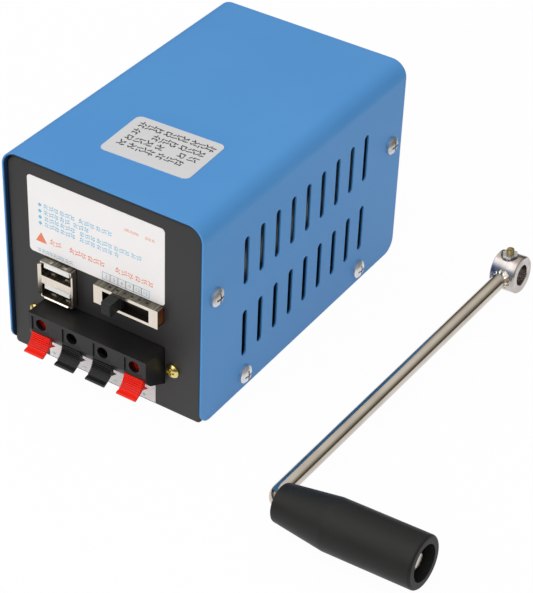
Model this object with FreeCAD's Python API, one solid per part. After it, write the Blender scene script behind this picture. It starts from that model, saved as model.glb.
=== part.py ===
import FreeCAD, Part
import math
import os

# Hand crank generator: a sheet steel box with a geared permanent-magnet machine,
# an output panel at the front and a loose crank that lies beside the box.
# +Z is up, the output panel faces -Y, and the origin is the middle of the box's
# footprint on the table. Millimetres throughout.

V = FreeCAD.Vector

# ---- housing ---------------------------------------------------------------
BOX_W = 85.0               # over the cover's sides
BOX_D = 134.0              # front edge to rear edge of the cover
BOX_H = 85.0
COVER_T = 1.0
COVER_BEND_R = 6.5         # outside radius of the two long top bends
COVER_LIFT = 0.4           # the cover's lower edges stay clear of the table
COVER_FRONT_CORNER_R = 5.9
COVER_REAR_CORNER_R = 5.5
CHASSIS_T = 1.2
CHASSIS_GAP = 0.1          # play between chassis and cover sides
PANEL_RECESS = 1.2         # panels stand back from the cover's edges
PANEL_TOP_GAP = 0.5        # dark joint between a panel's top edge and the cover
CHASSIS_BOTTOM_R = 1.6
CHASSIS_BEND_R = 1.0
FLANGE_W = 14.0
RELIEF_R = 1.6             # bend relief holes at the chassis corners

SLOT_COUNT = 9
SLOT_PITCH = 10.0
SLOT_W = 3.0
SLOT_L = 20.0
SLOT_FIRST_Y = 26.7        # from the front edge to the first slot
SLOT_ROW_Z = (25.5, 57.1)  # middles of the two rows

COVER_SCREW_HEAD_R = 3.5
COVER_SCREW_HEAD_H = 2.2
COVER_SCREW_R = 1.5
COVER_SCREW_L = 4.0
SCREW_HOLE_PLAY = 0.2
COVER_SCREW_HIGH = (8.0, 52.9)     # from the end edges, height
COVER_SCREW_LOW = (27.5, 6.5)
CROSS_W = 0.8              # arms of a cross recess
CROSS_DEPTH = 1.0
CROSS_REACH = 0.58         # of the head's radius
PAN_DOME = 0.55            # of the head's height
PAN_MID = (0.7, 0.38)      # where the dome's arc passes, of its radius and rise

# ---- labels ----------------------------------------------------------------
LABEL_T = 0.15
FRONT_LABEL_X = (-32.4, 26.1)
FRONT_LABEL_LOW = 45.7
FRONT_LABEL_TOP_GAP = 7.2   # label to the top of the box
FRONT_LABEL_R = 1.5
TERMINAL_LABEL_X = (-25.2, 22.2)
TERMINAL_LABEL_Z = (1.0, 11.2)
STICKER_W = 36.6
STICKER_L = 25.6
STICKER_R = 2.5
STICKER_AT = (2.4, -34.0)
STICKER_TURN = 2.4

# ---- USB twin socket --------------------------------------------------------
USB_X = -18.8
USB_Z = (29.7, 45.2)
USB_W = 13.8
USB_T = 0.4
USB_PROUD = 3.2            # front of the shell ahead of the panel
USB_L = 17.5
USB_SIDE_LIP = 0.9         # flare of the mouth at the two sides
USB_LOW_LIP = 0.4
USB_SIDE_LIP_INSET = 1.2   # the flares stop short of the mouth's corners
USB_LOW_LIP_INSET = 1.6
USB_PORT_H = 5.7
USB_REAR_BLOCK = 4.5       # depth of the insulator behind both ports
USB_TONGUE_W = 11.1
USB_TONGUE_T = 2.0
USB_TONGUE_BACK = 0.5      # tongue tips stand behind the shell's mouth
USB_TONGUE_ROOF_GAP = 0.4
USB_SPRING_AT = 3.2        # each port's two springs, from its middle
USB_SPRING_W = 1.9
USB_SPRING_L = 1.2
USB_SPRING_BACK = 2.6      # springs behind the shell's mouth
USB_WINDOW_BACK = 0.7      # windows in the roof, above the springs
USB_SPRING_RISE = 0.45
CONTACTS_PER_PORT = 4
CONTACT_PITCH = 2.3
CONTACT_W = 1.1
CONTACT_T = 0.25

# ---- voltage switch ---------------------------------------------------------
SWITCH_X = 12.0
SWITCH_Z = 41.65
SWITCH_W = 27.4
SWITCH_H = 7.7
SWITCH_PROUD = 3.8
SWITCH_PLAY = 0.1          # frame in the panel opening
FRAME_T = 0.5
FRAME_L = 7.0              # depth of the nickel frame's two folds
FRAME_HOLES = 6            # square holes along each fold
FRAME_HOLE_PITCH = 3.2
FRAME_HOLE_W = 1.1
FRAME_HOLE_Y = (1.5, 2.5)  # behind the frame's front
SWITCH_BODY_L = 8.0
SWITCH_BODY_INSET = 0.35   # body's ends inside the frame's
SWITCH_SLOT_W = 19.9
SWITCH_SLOT_Z = (38.9, 44.2)
KNOB_W = 4.0
KNOB_PROUD = 5.4
KNOB_EDGE_R = 0.6
KNOB_PLAY = 0.2
KNOB_FOOT = 0.3            # foot beyond the stem, all round
SWITCH_STEPS = 5
SWITCH_STEP = 3.1
SWITCH_AT_STEP = 1         # modelled position, counted from the left end
TRACK_DEPTH = 2.6
TRACK_MARGIN = (0.6, 0.2)  # track beyond the slot: sideways, up and down
PIN_COLUMNS = 7
PIN_PITCH = 3.5
PIN_W = 0.8
PIN_T = 0.4
PIN_ROW_Z = 1.7            # each row above or below the switch's middle
PIN_PAST_BOARD = 1.0
FIT_PLAY = 0.02            # between the frame's folds and the switch body

# ---- push terminals ---------------------------------------------------------
BLOCK_X = 0.3
BLOCK_W = 51.4
BLOCK_Z = (11.6, 27.7)
BLOCK_PROUD = 11.2
BLOCK_FRONT_LOW_Z = 20.6
BLOCK_CORNER = (10.3, 18.1)    # the rounded lower front: ahead of the panel, height
BLOCK_BELLY = (8.0, 15.65)     # where it runs into the sloping underside
BLOCK_WALL = 2.2
BLOCK_ROOF = 1.5
BLOCK_FLANGE_W = 70.0
BLOCK_FLANGE_T = 2.0
BLOCK_FLANGE_PAST = 0.5    # above and below the block
BLOCK_PLAY = 0.2
TERMINALS = 4
TERMINALS_X = 0.2          # middle of the row of terminals
TERMINAL_PITCH = 13.6
WIRE_HOLE_R = 2.3
WIRE_HOLE_Z = 23.5
RECESS_TOP_Z = 26.6        # recess that leads a wire into each hole
RECESS_FLOOR_Z = 21.2      # its floor is flat above this, and slopes out below
RECESS_W = 7.7
RECESS_FLOOR = 0.5         # depth of the flat floor
LEVER_W = 8.2
LEVER_PLAY = 0.2
LEVER_PIVOT = (5.9, 18.5)  # ahead of the panel, height
LEVER_BARREL_R = 2.0
LEVER_TRUNNION_R = 1.2
LEVER_TRUNNION_L = 0.8
TRUNNION_END_PLAY = 0.1
PIVOT_PLAY = 0.05
LEVER_HEAD_Z = 19.3
LEVER_FACE = ((11.15, 19.3), (12.2, 16.3), (15.5, 13.9))      # hollow face: ahead, height
LEVER_UNDER = ((15.95, 13.55), (15.8, 13.1), (15.2, 12.95), (12.9, 14.1), (11.1, 15.3),
               (8.0, 14.0), (9.9, 16.3), (9.6, 17.4), (6.4, 17.2))
LEVER_RIBS = 8
LEVER_RIBBED = 0.82        # the lip below the ribs is smooth
LEVER_RIB_H = 0.45
LEVER_RIB_PROFILE = ((0.0, 0.0), (0.55, 0.0), (0.65, 1.0), (0.9, 1.0))
LEVER_HOLE_DROP = 0.6      # the wire's hole through the arm, below the block's hole
LEVER_HOLE_R = 1.9
LEVER_HOLE_L = 6.0
LEVER_ARM = ((4.5, 18.5), (5.3, 25.8), (6.8, 25.8), (7.8, 19.3))
TERMINAL_SCREW_OUT = (5.2, 3.8)    # from the block's ends
TERMINAL_SCREW_Z = 19.3
TERMINAL_SCREW_HEAD_R = 2.75
TERMINAL_SCREW_R = 1.5
TERMINAL_SCREW_HEAD_H = 2.0
TERMINAL_SCREW_L = 5.0
LEAF_W = 5.0
LEAF_T = 0.5
LEAF_GAP = 0.8             # lever barrel to the leaf
TAG_W = 2.8
TAG_T = 0.5
TAG_Z = 22.0
TAG_PLAY = 0.1
TAG_PAST_FLANGE = 5.0
LEAF_BASE_Z = 19.0

# ---- circuit board ----------------------------------------------------------
BOARD_SIDE_GAP = 2.2       # board to the chassis flanges
BOARD_Z = (30.5, 74.0)
BOARD_T = 1.6
STANDOFF_INSET = 4.0       # standoffs from the board's edges
STANDOFF_AF = 5.5
STANDOFF_THREAD_L = 6.0
BOARD_R = 1.5
BOARD_SCREW_R = 1.5
BOARD_SCREW_L = 5.6
BOARD_SCREW_HEAD_H = 2.0
BOARD_SCREW_HEAD_R = 2.8
CAPACITORS = ((-24.0, 56.0, 5.0, 16.0), (-12.5, 56.0, 5.0, 16.0), (26.0, 62.0, 4.0, 12.0))
INDUCTOR_AT = (8.0, 60.0)
INDUCTOR_R = 9.0
INDUCTOR_HOLE_R = 4.0
INDUCTOR_H = 7.0
INDUCTOR_EDGE = 1.2
HEAT_SINK_AT = (-20.0, 36.0)
HEAT_SINK_W = 22.0
HEAT_SINK_H = 8.0
HEAT_SINK_GAP = 7.7        # fins to the machine's end cap
HEAT_SINK_FINS = 6
HEAT_SINK_BACK_T = 2.0
HEAT_SINK_FIN_T = 1.2
REGULATOR_W = 10.0
REGULATOR_T = 4.6
REGULATOR_H = 8.0
CAPACITOR_GROOVE = (1.6, 2.6)
CAPACITOR_GROOVE_DEPTH = 0.5
CHIPS = ((6.0, 35.0, 8.0, 6.0), (-28.0, 45.0, 6.0, 5.0), (21.0, 35.0, 10.0, 4.0))
CHIP_T = 1.6

# ---- gearbox ----------------------------------------------------------------
AXIS_Z = BOX_H / 2         # the crank shaft is central in the rear panel
PLATE_T = 3.0
PLATE_SIDE_GAP = 2.2       # plates to the chassis flanges
PLATE_FLOOR_GAP = 3.3
PLATE_R = 4.0
PLATE_GAP = 21.2           # clear distance between the two plates
PILLAR_R = 3.5             # pillars stand in the plates' corners
PILLAR_RIVET_R = 2.3
PILLAR_RIVET_HEAD = 0.6
GEARBOX_SCREW_R = 1.5
GEARBOX_SCREW_HEAD_R = 3.2
GEARBOX_SCREW_L = 10.0

PRESSURE_ANGLE = math.radians(20.0)
ADDENDUM = 0.8
DEDENDUM = 1.1
TOOTH_PLAY = 0.10          # thinning of each tooth at the pitch circle
PINION_TEETH = 12
DRIVE_TEETH = 44
DRIVE_MODULE = 0.9
FIRST_TEETH = 40
SECOND_TEETH = 30
TRAIN_MODULE = 0.7
GEAR_T = 5.6
LAYER_GAP = 1.0
FIRST_ANGLE = math.radians(225.0)   # first cluster seen from the drive shaft
SECOND_ANGLE = math.radians(-18.0)  # second cluster seen from the first
MACHINE_ANGLE = math.radians(62.3)  # machine seen from the second cluster
RUN_PLAY = 0.05            # radial play of a shaft in its bush
END_PLAY = 0.2             # turning pieces to the still faces beside them
JOURNAL_STEP = 0.6         # the drive shaft's shoulder behind the front plate
SHAFT_EDGE = 0.5
CLUSTER_SHAFT_R = 2.0
DRIVE_SHAFT_R = 4.0
DRIVE_JOURNAL_R = 3.0
SHAFT_OUT = 20.0           # drive shaft beyond the rear panel
BUSH_R = 6.0
BUSH_FLANGE_R = 7.5
BUSH_FLANGE_T = 1.5
RING_R = 6.4
RING_T = 0.9
RING_GROOVE = 0.5
RING_GAP_W = 4.4
DRIVE_HUB_R = 8.0
DRIVE_HUB_L = 4.0          # in front of the wheel
NECK_UNDER_ROOT = 0.2
WEB_HOLES = 6
WEB_HOLE_R = 3.4
WEB_HOLE_AT = 14.6

# ---- permanent-magnet machine -------------------------------------------------
CAN_R = 21.0
CAN_T = 1.5
CAN_L = 56.0
CAN_BOSS_R = 6.5
CAN_EDGE = 1.0
CAP_T = 3.0
CAP_SKIRT = 3.0
CAP_BOSS_R = 6.5
CAP_BOSS_L = 3.0
CAP_INSET = 0.3            # the cap's rim inside the can's
CAP_SKIRT_PLAY = 0.05
CAP_SKIRT_DEPTH = 2.0
MACHINE_BUSH_R = 4.6
BUSH_IN_CAN = 1.0
MAGNET_T = 4.2
MAGNET_PLAY = 0.2
MAGNET_L = 38.0
MAGNET_FROM = 8.0          # behind the can's mounting face
MAGNET_HALF_ANGLE = 62.0
ARMATURE_R = 14.3
ARMATURE_L = 30.0
ARMATURE_FROM = 13.0
ARMATURE_SLOTS = 8
SLOT_INNER_R = 6.0
SLOT_OUTER_R = 12.4
ARMATURE_SLOT_W = 3.6
SLOT_MOUTH_W = 1.6
WINDING_PLAY = 0.15
END_TURN_GAP = 0.1
END_TURN_L = 4.5
END_TURN_R = (4.6, 12.8)
MACHINE_SHAFT_R = 2.5
SHAFT_INSET = 0.3          # the rotor's shaft inside its rear boss
SHAFT_PAST_PINION = 0.6
COMMUTATOR_R = 5.2
COMMUTATOR_L = 6.0
COMMUTATOR_BARS = 8
COMMUTATOR_GROOVE_W = 0.5
COMMUTATOR_GROOVE_DEPTH = 0.6
COMMUTATOR_PAST_BRUSH = 1.0
TERMINAL_TAG_AT = 13.5     # from the machine's axis
TERMINAL_TAG_W = 3.0
TERMINAL_TAG_T = 0.5
TERMINAL_TAG_OUT = 6.0
TERMINAL_TAG_IN = 1.0
BRUSH_W = 3.6
BRUSH_H = 4.4
BRUSH_L = 6.0
BRUSH_GAP = 0.3            # brushes stand clear of the turning bars
BRUSH_FROM_CAP = 2.0
HOLDER_WALL = 1.2
HOLDER_GAP = 1.0           # from the bars to the brush holder
HOLDER_END = 0.5
BRUSH_PLAY = 0.1
BRUSH_SLOT_AT = 5.0        # middle of the slot from the bars
BRUSH_SLOT_L = 12.0
MOUNT_CIRCLE_R = 14.5
MOUNT_SCREW_R = 1.5
MOUNT_SCREW_HEAD_R = 2.9
MOUNT_SCREW_IN_CAN = 4.0

# ---- crank ------------------------------------------------------------------
# local axes: x along the grip, y along the arm, z up, origin where the centre
# lines of arm and spindle cross
ARM_L = 161.4              # spindle centre line to hub bore
ROD_R = 3.0
ARM_INTO_HUB = 3.0         # the arm's end before it is fitted to the hub
BEND_R = 4.1
GRIP_FROM = 3.3
GRIP_TO = 58.7
GRIP_R = 9.6
GRIP_NECK_R = 7.1
GRIP_SHOULDER = 24.0       # where the cone meets the cylinder
GRIP_EDGE_R = 1.0
GRIP_NECK_EDGE_R = 0.8
GRIP_PLAY = 0.08
GRIP_END_PLAY = 0.1
ARC_MID = 0.3              # an edge's arc passes this share of its radius in
GRIP_SINK_R = 4.1          # countersink that clears the rod's bend
GRIP_SINK_L = 1.5
GRIP_CUP_R = 6.65
GRIP_CUP_L = 8.2
WASHER_R = 5.6
WASHER_T = 1.0
SPINDLE_THREAD_R = 2.5
GRIP_NUT_AF = 8.0
GRIP_NUT_T = 3.6
SPINDLE_PAST_NUT = 1.2
HUB_R = 7.5
HUB_FROM = -4.8
HUB_TO = 5.65
HUB_BORE_R = 4.1
HUB_EDGE = 0.5
HUB_BORE_EDGE = 0.25
HUB_FLAT_Z = 5.9
HUB_SPOT_PAST_NUT = 0.9    # the spot face round the nut
HUB_SPOT_H = 3.0
HUB_SCREW_X = 0.1
HUB_SCREW_R = 1.5
HUB_SCREW_TOP = 10.1
HUB_SCREW_BACK = 0.6       # the screw's end stays clear of the shaft
HUB_SLOT_W = 0.6
HUB_SLOT_DEPTH = 0.8
HUB_NUT_AF = 5.5
HUB_NUT_T = 2.2
CRANK_AT = (87.8, -90.4)   # the crank's origin on the table beside the box
CRANK_YAW = 1.58           # the arm leans this much from +Y towards +X

# ---- derived places -----------------------------------------------------------
FRONT_Y = -BOX_D / 2
REAR_Y = BOX_D / 2
PANEL_Y = FRONT_Y + PANEL_RECESS            # outer face of the front panel
PANEL_BACK = PANEL_Y + CHASSIS_T
REAR_PANEL_Y = REAR_Y - PANEL_RECESS
REAR_PANEL_IN = REAR_PANEL_Y - CHASSIS_T
CHASSIS_HALF_W = BOX_W / 2 - COVER_T - CHASSIS_GAP
PLATE_HALF_W = CHASSIS_HALF_W - CHASSIS_T - PLATE_SIDE_GAP
PLATE_HALF_H = AXIS_Z - CHASSIS_T - PLATE_FLOOR_GAP
BOARD_HALF_W = CHASSIS_HALF_W - CHASSIS_T - BOARD_SIDE_GAP
CHASSIS_TOP = BOX_H - COVER_T - PANEL_TOP_GAP
USB_FRONT = PANEL_Y - USB_PROUD
BOARD_FRONT = USB_FRONT + USB_L
TERMINAL_SCREW_X = (BLOCK_X - BLOCK_W / 2 - TERMINAL_SCREW_OUT[0],
                    BLOCK_X + BLOCK_W / 2 + TERMINAL_SCREW_OUT[1])
PLATE_REAR_Y = REAR_PANEL_IN - PLATE_T      # inner face of the rear plate
PLATE_FRONT_Y = PLATE_REAR_Y - PLATE_GAP    # inner face of the front plate
CAN_FACE = PLATE_FRONT_Y - PLATE_T
CAN_END = CAN_FACE - CAN_L
LAYER_1 = PLATE_REAR_Y - LAYER_GAP - GEAR_T
LAYER_2 = LAYER_1 - LAYER_GAP - GEAR_T
LAYER_3 = LAYER_2 - LAYER_GAP - GEAR_T


def centre_distance(module, teeth_a, teeth_b):
    return module * (teeth_a + teeth_b) / 2


def polar(start, distance, angle):
    return (start[0] + distance * math.cos(angle), start[1] + distance * math.sin(angle))


# shaft centres as (x, z)
DRIVE_AT = (0.0, AXIS_Z)
FIRST_AT = polar(DRIVE_AT, centre_distance(DRIVE_MODULE, DRIVE_TEETH, PINION_TEETH), FIRST_ANGLE)
SECOND_AT = polar(FIRST_AT, centre_distance(TRAIN_MODULE, FIRST_TEETH, PINION_TEETH), SECOND_ANGLE)
MACHINE_AT = polar(SECOND_AT, centre_distance(TRAIN_MODULE, SECOND_TEETH, PINION_TEETH),
                   MACHINE_ANGLE)


# ---- helpers ------------------------------------------------------------------
def box(x0, x1, y0, y1, z0, z1):
    return Part.makeBox(x1 - x0, y1 - y0, z1 - z0, V(x0, y0, z0))


def rod_x(y, z, x0, x1, r):
    return Part.makeCylinder(r, x1 - x0, V(x0, y, z), V(1, 0, 0))


def rod_y(at, y0, y1, r):
    return Part.makeCylinder(r, y1 - y0, V(at[0], y0, at[1]), V(0, 1, 0))


def rod_z(x, y, z0, z1, r):
    return Part.makeCylinder(r, z1 - z0, V(x, y, z0), V(0, 0, 1))


def tube_y(at, y0, y1, r_out, r_in):
    return rod_y(at, y0, y1, r_out).cut(rod_y(at, y0, y1, r_in))


def prism(points, direction):
    wire = Part.makePolygon(points + [points[0]])
    return Part.Face(wire).extrude(direction)


def rounded_wire(corners, radii, place):
    """Closed wire through 2D corners, each rounded by its radius; place makes 3D."""
    edges = []
    starts = []
    ends = []
    count = len(corners)
    for i, (x, y) in enumerate(corners):
        before = corners[i - 1]
        after = corners[(i + 1) % count]
        to_a = (before[0] - x, before[1] - y)
        to_b = (after[0] - x, after[1] - y)
        len_a = math.hypot(*to_a)
        len_b = math.hypot(*to_b)
        unit_a = (to_a[0] / len_a, to_a[1] / len_a)
        unit_b = (to_b[0] / len_b, to_b[1] / len_b)
        cosine = unit_a[0] * unit_b[0] + unit_a[1] * unit_b[1]
        half = math.acos(max(-1.0, min(1.0, cosine))) / 2
        r = radii[i]
        if r <= 0:
            starts.append((x, y))
            ends.append((x, y))
            continue
        back = r / math.tan(half)
        start = (x + unit_a[0] * back, y + unit_a[1] * back)
        end = (x + unit_b[0] * back, y + unit_b[1] * back)
        away = r / math.sin(half) - r
        middle = (unit_a[0] + unit_b[0], unit_a[1] + unit_b[1])
        size = math.hypot(*middle)
        mid = (x + middle[0] / size * away, y + middle[1] / size * away)
        edges.append((i, Part.Arc(place(*start), place(*mid), place(*end)).toShape()))
        starts.append(start)
        ends.append(end)
    arcs = dict(edges)
    ordered = []
    for i in range(count):
        if i in arcs:
            ordered.append(arcs[i])
        a = ends[i]
        b = starts[(i + 1) % count]
        if math.hypot(a[0] - b[0], a[1] - b[1]) > 1e-6:
            ordered.append(Part.makeLine(place(*a), place(*b)))
    return Part.Wire(ordered)


def plate_xz(x0, x1, z0, z1, radii, y0, y1):
    corners = [(x0, z0), (x1, z0), (x1, z1), (x0, z1)]
    wire = rounded_wire(corners, radii, lambda a, b: V(a, y0, b))
    return Part.Face(wire).extrude(V(0, y1 - y0, 0))


def revolved(points, axis_start, axis_dir):
    wire = Part.makePolygon(points + [points[0]])
    return Part.Face(wire).revolve(axis_start, axis_dir, 360)


def fuse_all(shapes):
    result = shapes[0].multiFuse(shapes[1:])
    return result.removeSplitter()


def cut_all(shape, tools):
    return shape.cut(Part.makeCompound(tools))


def hexagon(across_flats, height):
    r = across_flats / math.sqrt(3)
    points = [V(r * math.cos(math.radians(60 * k)), r * math.sin(math.radians(60 * k)), 0)
              for k in range(6)]
    return prism(points, V(0, 0, height))


def pan_screw(head_r, head_h, shank_r, shank_l):
    """A domed cross-recess screw along +Z: the head's seat is at 0, the shank below."""
    rise = head_h * PAN_DOME
    profile = [
        Part.makeLine(V(0, 0, -shank_l), V(shank_r, 0, -shank_l)),
        Part.makeLine(V(shank_r, 0, -shank_l), V(shank_r, 0, 0)),
        Part.makeLine(V(shank_r, 0, 0), V(head_r, 0, 0)),
        Part.makeLine(V(head_r, 0, 0), V(head_r, 0, head_h - rise)),
        Part.Arc(V(head_r, 0, head_h - rise), V(head_r * PAN_MID[0], 0, head_h - rise * PAN_MID[1]),
                 V(0, 0, head_h)).toShape(),
        Part.makeLine(V(0, 0, head_h), V(0, 0, -shank_l)),
    ]
    screw = Part.Face(Part.Wire(profile)).revolve(V(0, 0, 0), V(0, 0, 1), 360)
    reach = head_r * CROSS_REACH
    half = CROSS_W / 2
    floor = head_h - CROSS_DEPTH
    arms = [box(-reach, reach, -half, half, floor, head_h + 1),
            box(-half, half, -reach, reach, floor, head_h + 1)]
    return screw.cut(arms[0].fuse(arms[1]))


def turned(shape, direction, at):
    """Stand a shape that was made along +Z along another direction, at a point."""
    copy = shape.copy()
    copy.Placement = FreeCAD.Placement(V(*at), FreeCAD.Rotation(V(0, 0, 1), V(*direction)))
    return copy


# ---- housing ------------------------------------------------------------------
def cover_profile(inset, y0, y1):
    half = BOX_W / 2 - inset
    top = BOX_H - inset
    low = COVER_LIFT - (1.0 if inset else 0.0)
    r = COVER_BEND_R - inset
    corners = [(-half, low), (half, low), (half, top), (-half, top)]
    wire = rounded_wire(corners, (0, 0, r, r), lambda a, b: V(a, y0, b))
    return Part.Face(wire).extrude(V(0, y1 - y0, 0))


def side_slots(side):
    slots = []
    for z in SLOT_ROW_Z:
        for i in range(SLOT_COUNT):
            y = FRONT_Y + SLOT_FIRST_Y + i * SLOT_PITCH
            half = SLOT_L / 2
            r = SLOT_W / 2
            corners = [(y - r, z - half), (y + r, z - half), (y + r, z + half), (y - r, z + half)]
            x0 = side * BOX_W / 2 - 2 * COVER_T
            wire = rounded_wire(corners, (r * 0.999,) * 4, lambda a, b: V(x0, a, b))
            slots.append(Part.Face(wire).extrude(V(4 * COVER_T, 0, 0)))
    return slots


def cover_screw_places():
    """(y, z) of the four screws on each side."""
    places = []
    for inset, z in (COVER_SCREW_HIGH, COVER_SCREW_LOW):
        places.append((FRONT_Y + inset, z))
        places.append((REAR_Y - inset, z))
    return places


def make_cover():
    sheet = cover_profile(0, FRONT_Y, REAR_Y).cut(cover_profile(COVER_T, FRONT_Y - 1, REAR_Y + 1))
    low = COVER_LIFT
    corners = [(FRONT_Y, low), (REAR_Y, low), (REAR_Y, BOX_H + 1), (FRONT_Y, BOX_H + 1)]
    radii = (COVER_FRONT_CORNER_R, COVER_REAR_CORNER_R, 0, 0)
    outline = rounded_wire(corners, radii, lambda a, b: V(-BOX_W, a, b))
    sheet = sheet.common(Part.Face(outline).extrude(V(2 * BOX_W, 0, 0)))
    tools = side_slots(-1) + side_slots(1)
    for y, z in cover_screw_places():
        tools.append(rod_x(y, z, -BOX_W, BOX_W, COVER_SCREW_R + SCREW_HOLE_PLAY))
    return cut_all(sheet, tools)


def cover_screws(side):
    screw = pan_screw(COVER_SCREW_HEAD_R, COVER_SCREW_HEAD_H, COVER_SCREW_R, COVER_SCREW_L)
    return [turned(screw, (side, 0, 0), (side * BOX_W / 2, y, z))
            for y, z in cover_screw_places()]


def panel_openings():
    """What the front panel is cut for."""
    x0 = BLOCK_X - BLOCK_W / 2 - BLOCK_PLAY
    x1 = BLOCK_X + BLOCK_W / 2 + BLOCK_PLAY
    before = PANEL_Y - 1
    behind = PANEL_BACK + 1
    tools = [
        box(x0, x1, before, behind, BLOCK_Z[0] - BLOCK_PLAY, BLOCK_Z[1] + BLOCK_PLAY),
        box(USB_X - USB_W / 2 - BLOCK_PLAY, USB_X + USB_W / 2 + BLOCK_PLAY, before, behind,
            USB_Z[0] - BLOCK_PLAY, USB_Z[1] + BLOCK_PLAY),
        box(SWITCH_X - SWITCH_W / 2 - SWITCH_PLAY, SWITCH_X + SWITCH_W / 2 + SWITCH_PLAY,
            before, behind,
            SWITCH_Z - SWITCH_H / 2 - SWITCH_PLAY, SWITCH_Z + SWITCH_H / 2 + SWITCH_PLAY),
    ]
    for x in TERMINAL_SCREW_X:
        tools.append(rod_y((x, TERMINAL_SCREW_Z), before, behind,
                           TERMINAL_SCREW_R + SCREW_HOLE_PLAY))
    return tools


def pillar_places():
    return [(DRIVE_AT[0] + side * (PLATE_HALF_W - PILLAR_R),
             DRIVE_AT[1] + up * (PLATE_HALF_H - PILLAR_R))
            for side in (-1, 1) for up in (-1, 1)]


def make_chassis():
    half = CHASSIS_HALF_W
    top_r = COVER_BEND_R - COVER_T - CHASSIS_GAP
    low_r = CHASSIS_BOTTOM_R
    outer = plate_xz(-half, half, 0, CHASSIS_TOP, (low_r, low_r, top_r, top_r),
                     PANEL_Y, REAR_PANEL_Y)
    rims = [e for e in outer.Edges
            if abs(e.BoundBox.YMax - e.BoundBox.YMin) < 1e-6]
    outer = outer.makeFillet(CHASSIS_BEND_R, rims)
    t = CHASSIS_T
    inner = plate_xz(-half + t, half - t, t, CHASSIS_TOP - t,
                     (low_r - t, low_r - t, top_r - t, top_r - t), PANEL_BACK, REAR_PANEL_IN)
    shell = outer.cut(inner)
    flange_top = CHASSIS_TOP - top_r - 1.0
    shell = shell.cut(box(-half - 1, half + 1, PANEL_BACK, REAR_PANEL_IN,
                          flange_top, CHASSIS_TOP + 1))
    window = box(-half - 1, half + 1, PANEL_Y + FLANGE_W, REAR_PANEL_Y - FLANGE_W,
                 FLANGE_W, CHASSIS_TOP + 1)
    shell = shell.cut(window)
    tools = panel_openings()
    for y in (PANEL_Y + FLANGE_W, REAR_PANEL_Y - FLANGE_W):
        tools.append(rod_x(y, FLANGE_W, -half - 1, half + 1, RELIEF_R))
    for y, z in cover_screw_places():
        tools.append(rod_x(y, z, -half - 1, half + 1, COVER_SCREW_R))
    tools.append(rod_y(DRIVE_AT, REAR_PANEL_IN - 1, REAR_PANEL_Y + 1, BUSH_R))
    for at in pillar_places():
        tools.append(rod_y(at, REAR_PANEL_IN - 1, REAR_PANEL_Y + 1,
                           GEARBOX_SCREW_R + SCREW_HOLE_PLAY))
    return cut_all(shell, tools)


def make_front_label():
    return plate_xz(*FRONT_LABEL_X, FRONT_LABEL_LOW, BOX_H - FRONT_LABEL_TOP_GAP,
                    (FRONT_LABEL_R,) * 4, PANEL_Y - LABEL_T, PANEL_Y)


def make_terminal_label():
    return box(*TERMINAL_LABEL_X, PANEL_Y - LABEL_T, PANEL_Y, *TERMINAL_LABEL_Z)


def make_top_sticker():
    half_w = STICKER_W / 2
    half_l = STICKER_L / 2
    corners = [(-half_w, -half_l), (half_w, -half_l), (half_w, half_l), (-half_w, half_l)]
    wire = rounded_wire(corners, (STICKER_R,) * 4, lambda a, b: V(a, b, 0))
    plate = Part.Face(wire).extrude(V(0, 0, LABEL_T))
    plate.Placement = FreeCAD.Placement(V(STICKER_AT[0], STICKER_AT[1], BOX_H),
                                        FreeCAD.Rotation(V(0, 0, 1), STICKER_TURN))
    return plate


# ---- USB twin socket ----------------------------------------------------------
def port_floors():
    """Lower faces of the two ports."""
    low = USB_Z[0] + USB_T
    high = USB_Z[1] - USB_T - USB_PORT_H
    return (low, high)


def spring_xs():
    return (USB_X - USB_SPRING_AT, USB_X + USB_SPRING_AT)


def make_usb_shell():
    """Steel shell: a box open at the front, a folded partition and sprung bumps."""
    x0 = USB_X - USB_W / 2
    x1 = USB_X + USB_W / 2
    z0, z1 = USB_Z
    back = USB_FRONT + USB_L
    t = USB_T
    tube = box(x0, x1, USB_FRONT, back, z0, z1)
    tube = tube.cut(box(x0 + t, x1 - t, USB_FRONT - 1, back - t, z0 + t, z1 - t))
    low, high = port_floors()
    under = low + USB_PORT_H
    partition = box(x0, x1, USB_FRONT, back - t - USB_REAR_BLOCK, under, high)
    partition = partition.cut(box(x0 - 1, x1 + 1, USB_FRONT + t, back, under + t, high - t))
    lips = []
    lip = USB_SIDE_LIP
    start = z0 + USB_SIDE_LIP_INSET
    for x, side in ((x0, -1), (x1, 1)):
        inner = x - side * t
        points = [V(inner, USB_FRONT, start), V(x, USB_FRONT + t, start),
                  V(x + side * lip, USB_FRONT - lip + t, start),
                  V(inner + side * lip, USB_FRONT - lip, start)]
        lips.append(prism(points, V(0, 0, z1 - z0 - 2 * USB_SIDE_LIP_INSET)))
    lip = USB_LOW_LIP
    start = x0 + USB_LOW_LIP_INSET
    points = [V(start, USB_FRONT, z0 + t), V(start, USB_FRONT + t, z0),
              V(start, USB_FRONT - lip + t, z0 - lip), V(start, USB_FRONT - lip, z0 + t - lip)]
    lips.append(prism(points, V(USB_W - 2 * USB_LOW_LIP_INSET, 0, 0)))
    half = USB_SPRING_W / 2
    first = USB_FRONT + USB_SPRING_BACK
    last = first + USB_SPRING_L
    bumps = [box(x - half, x + half, first, last, floor, floor + USB_SPRING_RISE)
             for x in spring_xs() for floor in (low, high)]
    first = USB_FRONT + USB_WINDOW_BACK
    last = first + USB_SPRING_L
    windows = [box(x - half, x + half, first, last, z1 - 2 * t, z1 + 1) for x in spring_xs()]
    return cut_all(fuse_all([tube, partition] + lips + bumps), windows)


def tongue_top(floor):
    return floor + USB_PORT_H - USB_TONGUE_ROOF_GAP


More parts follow.
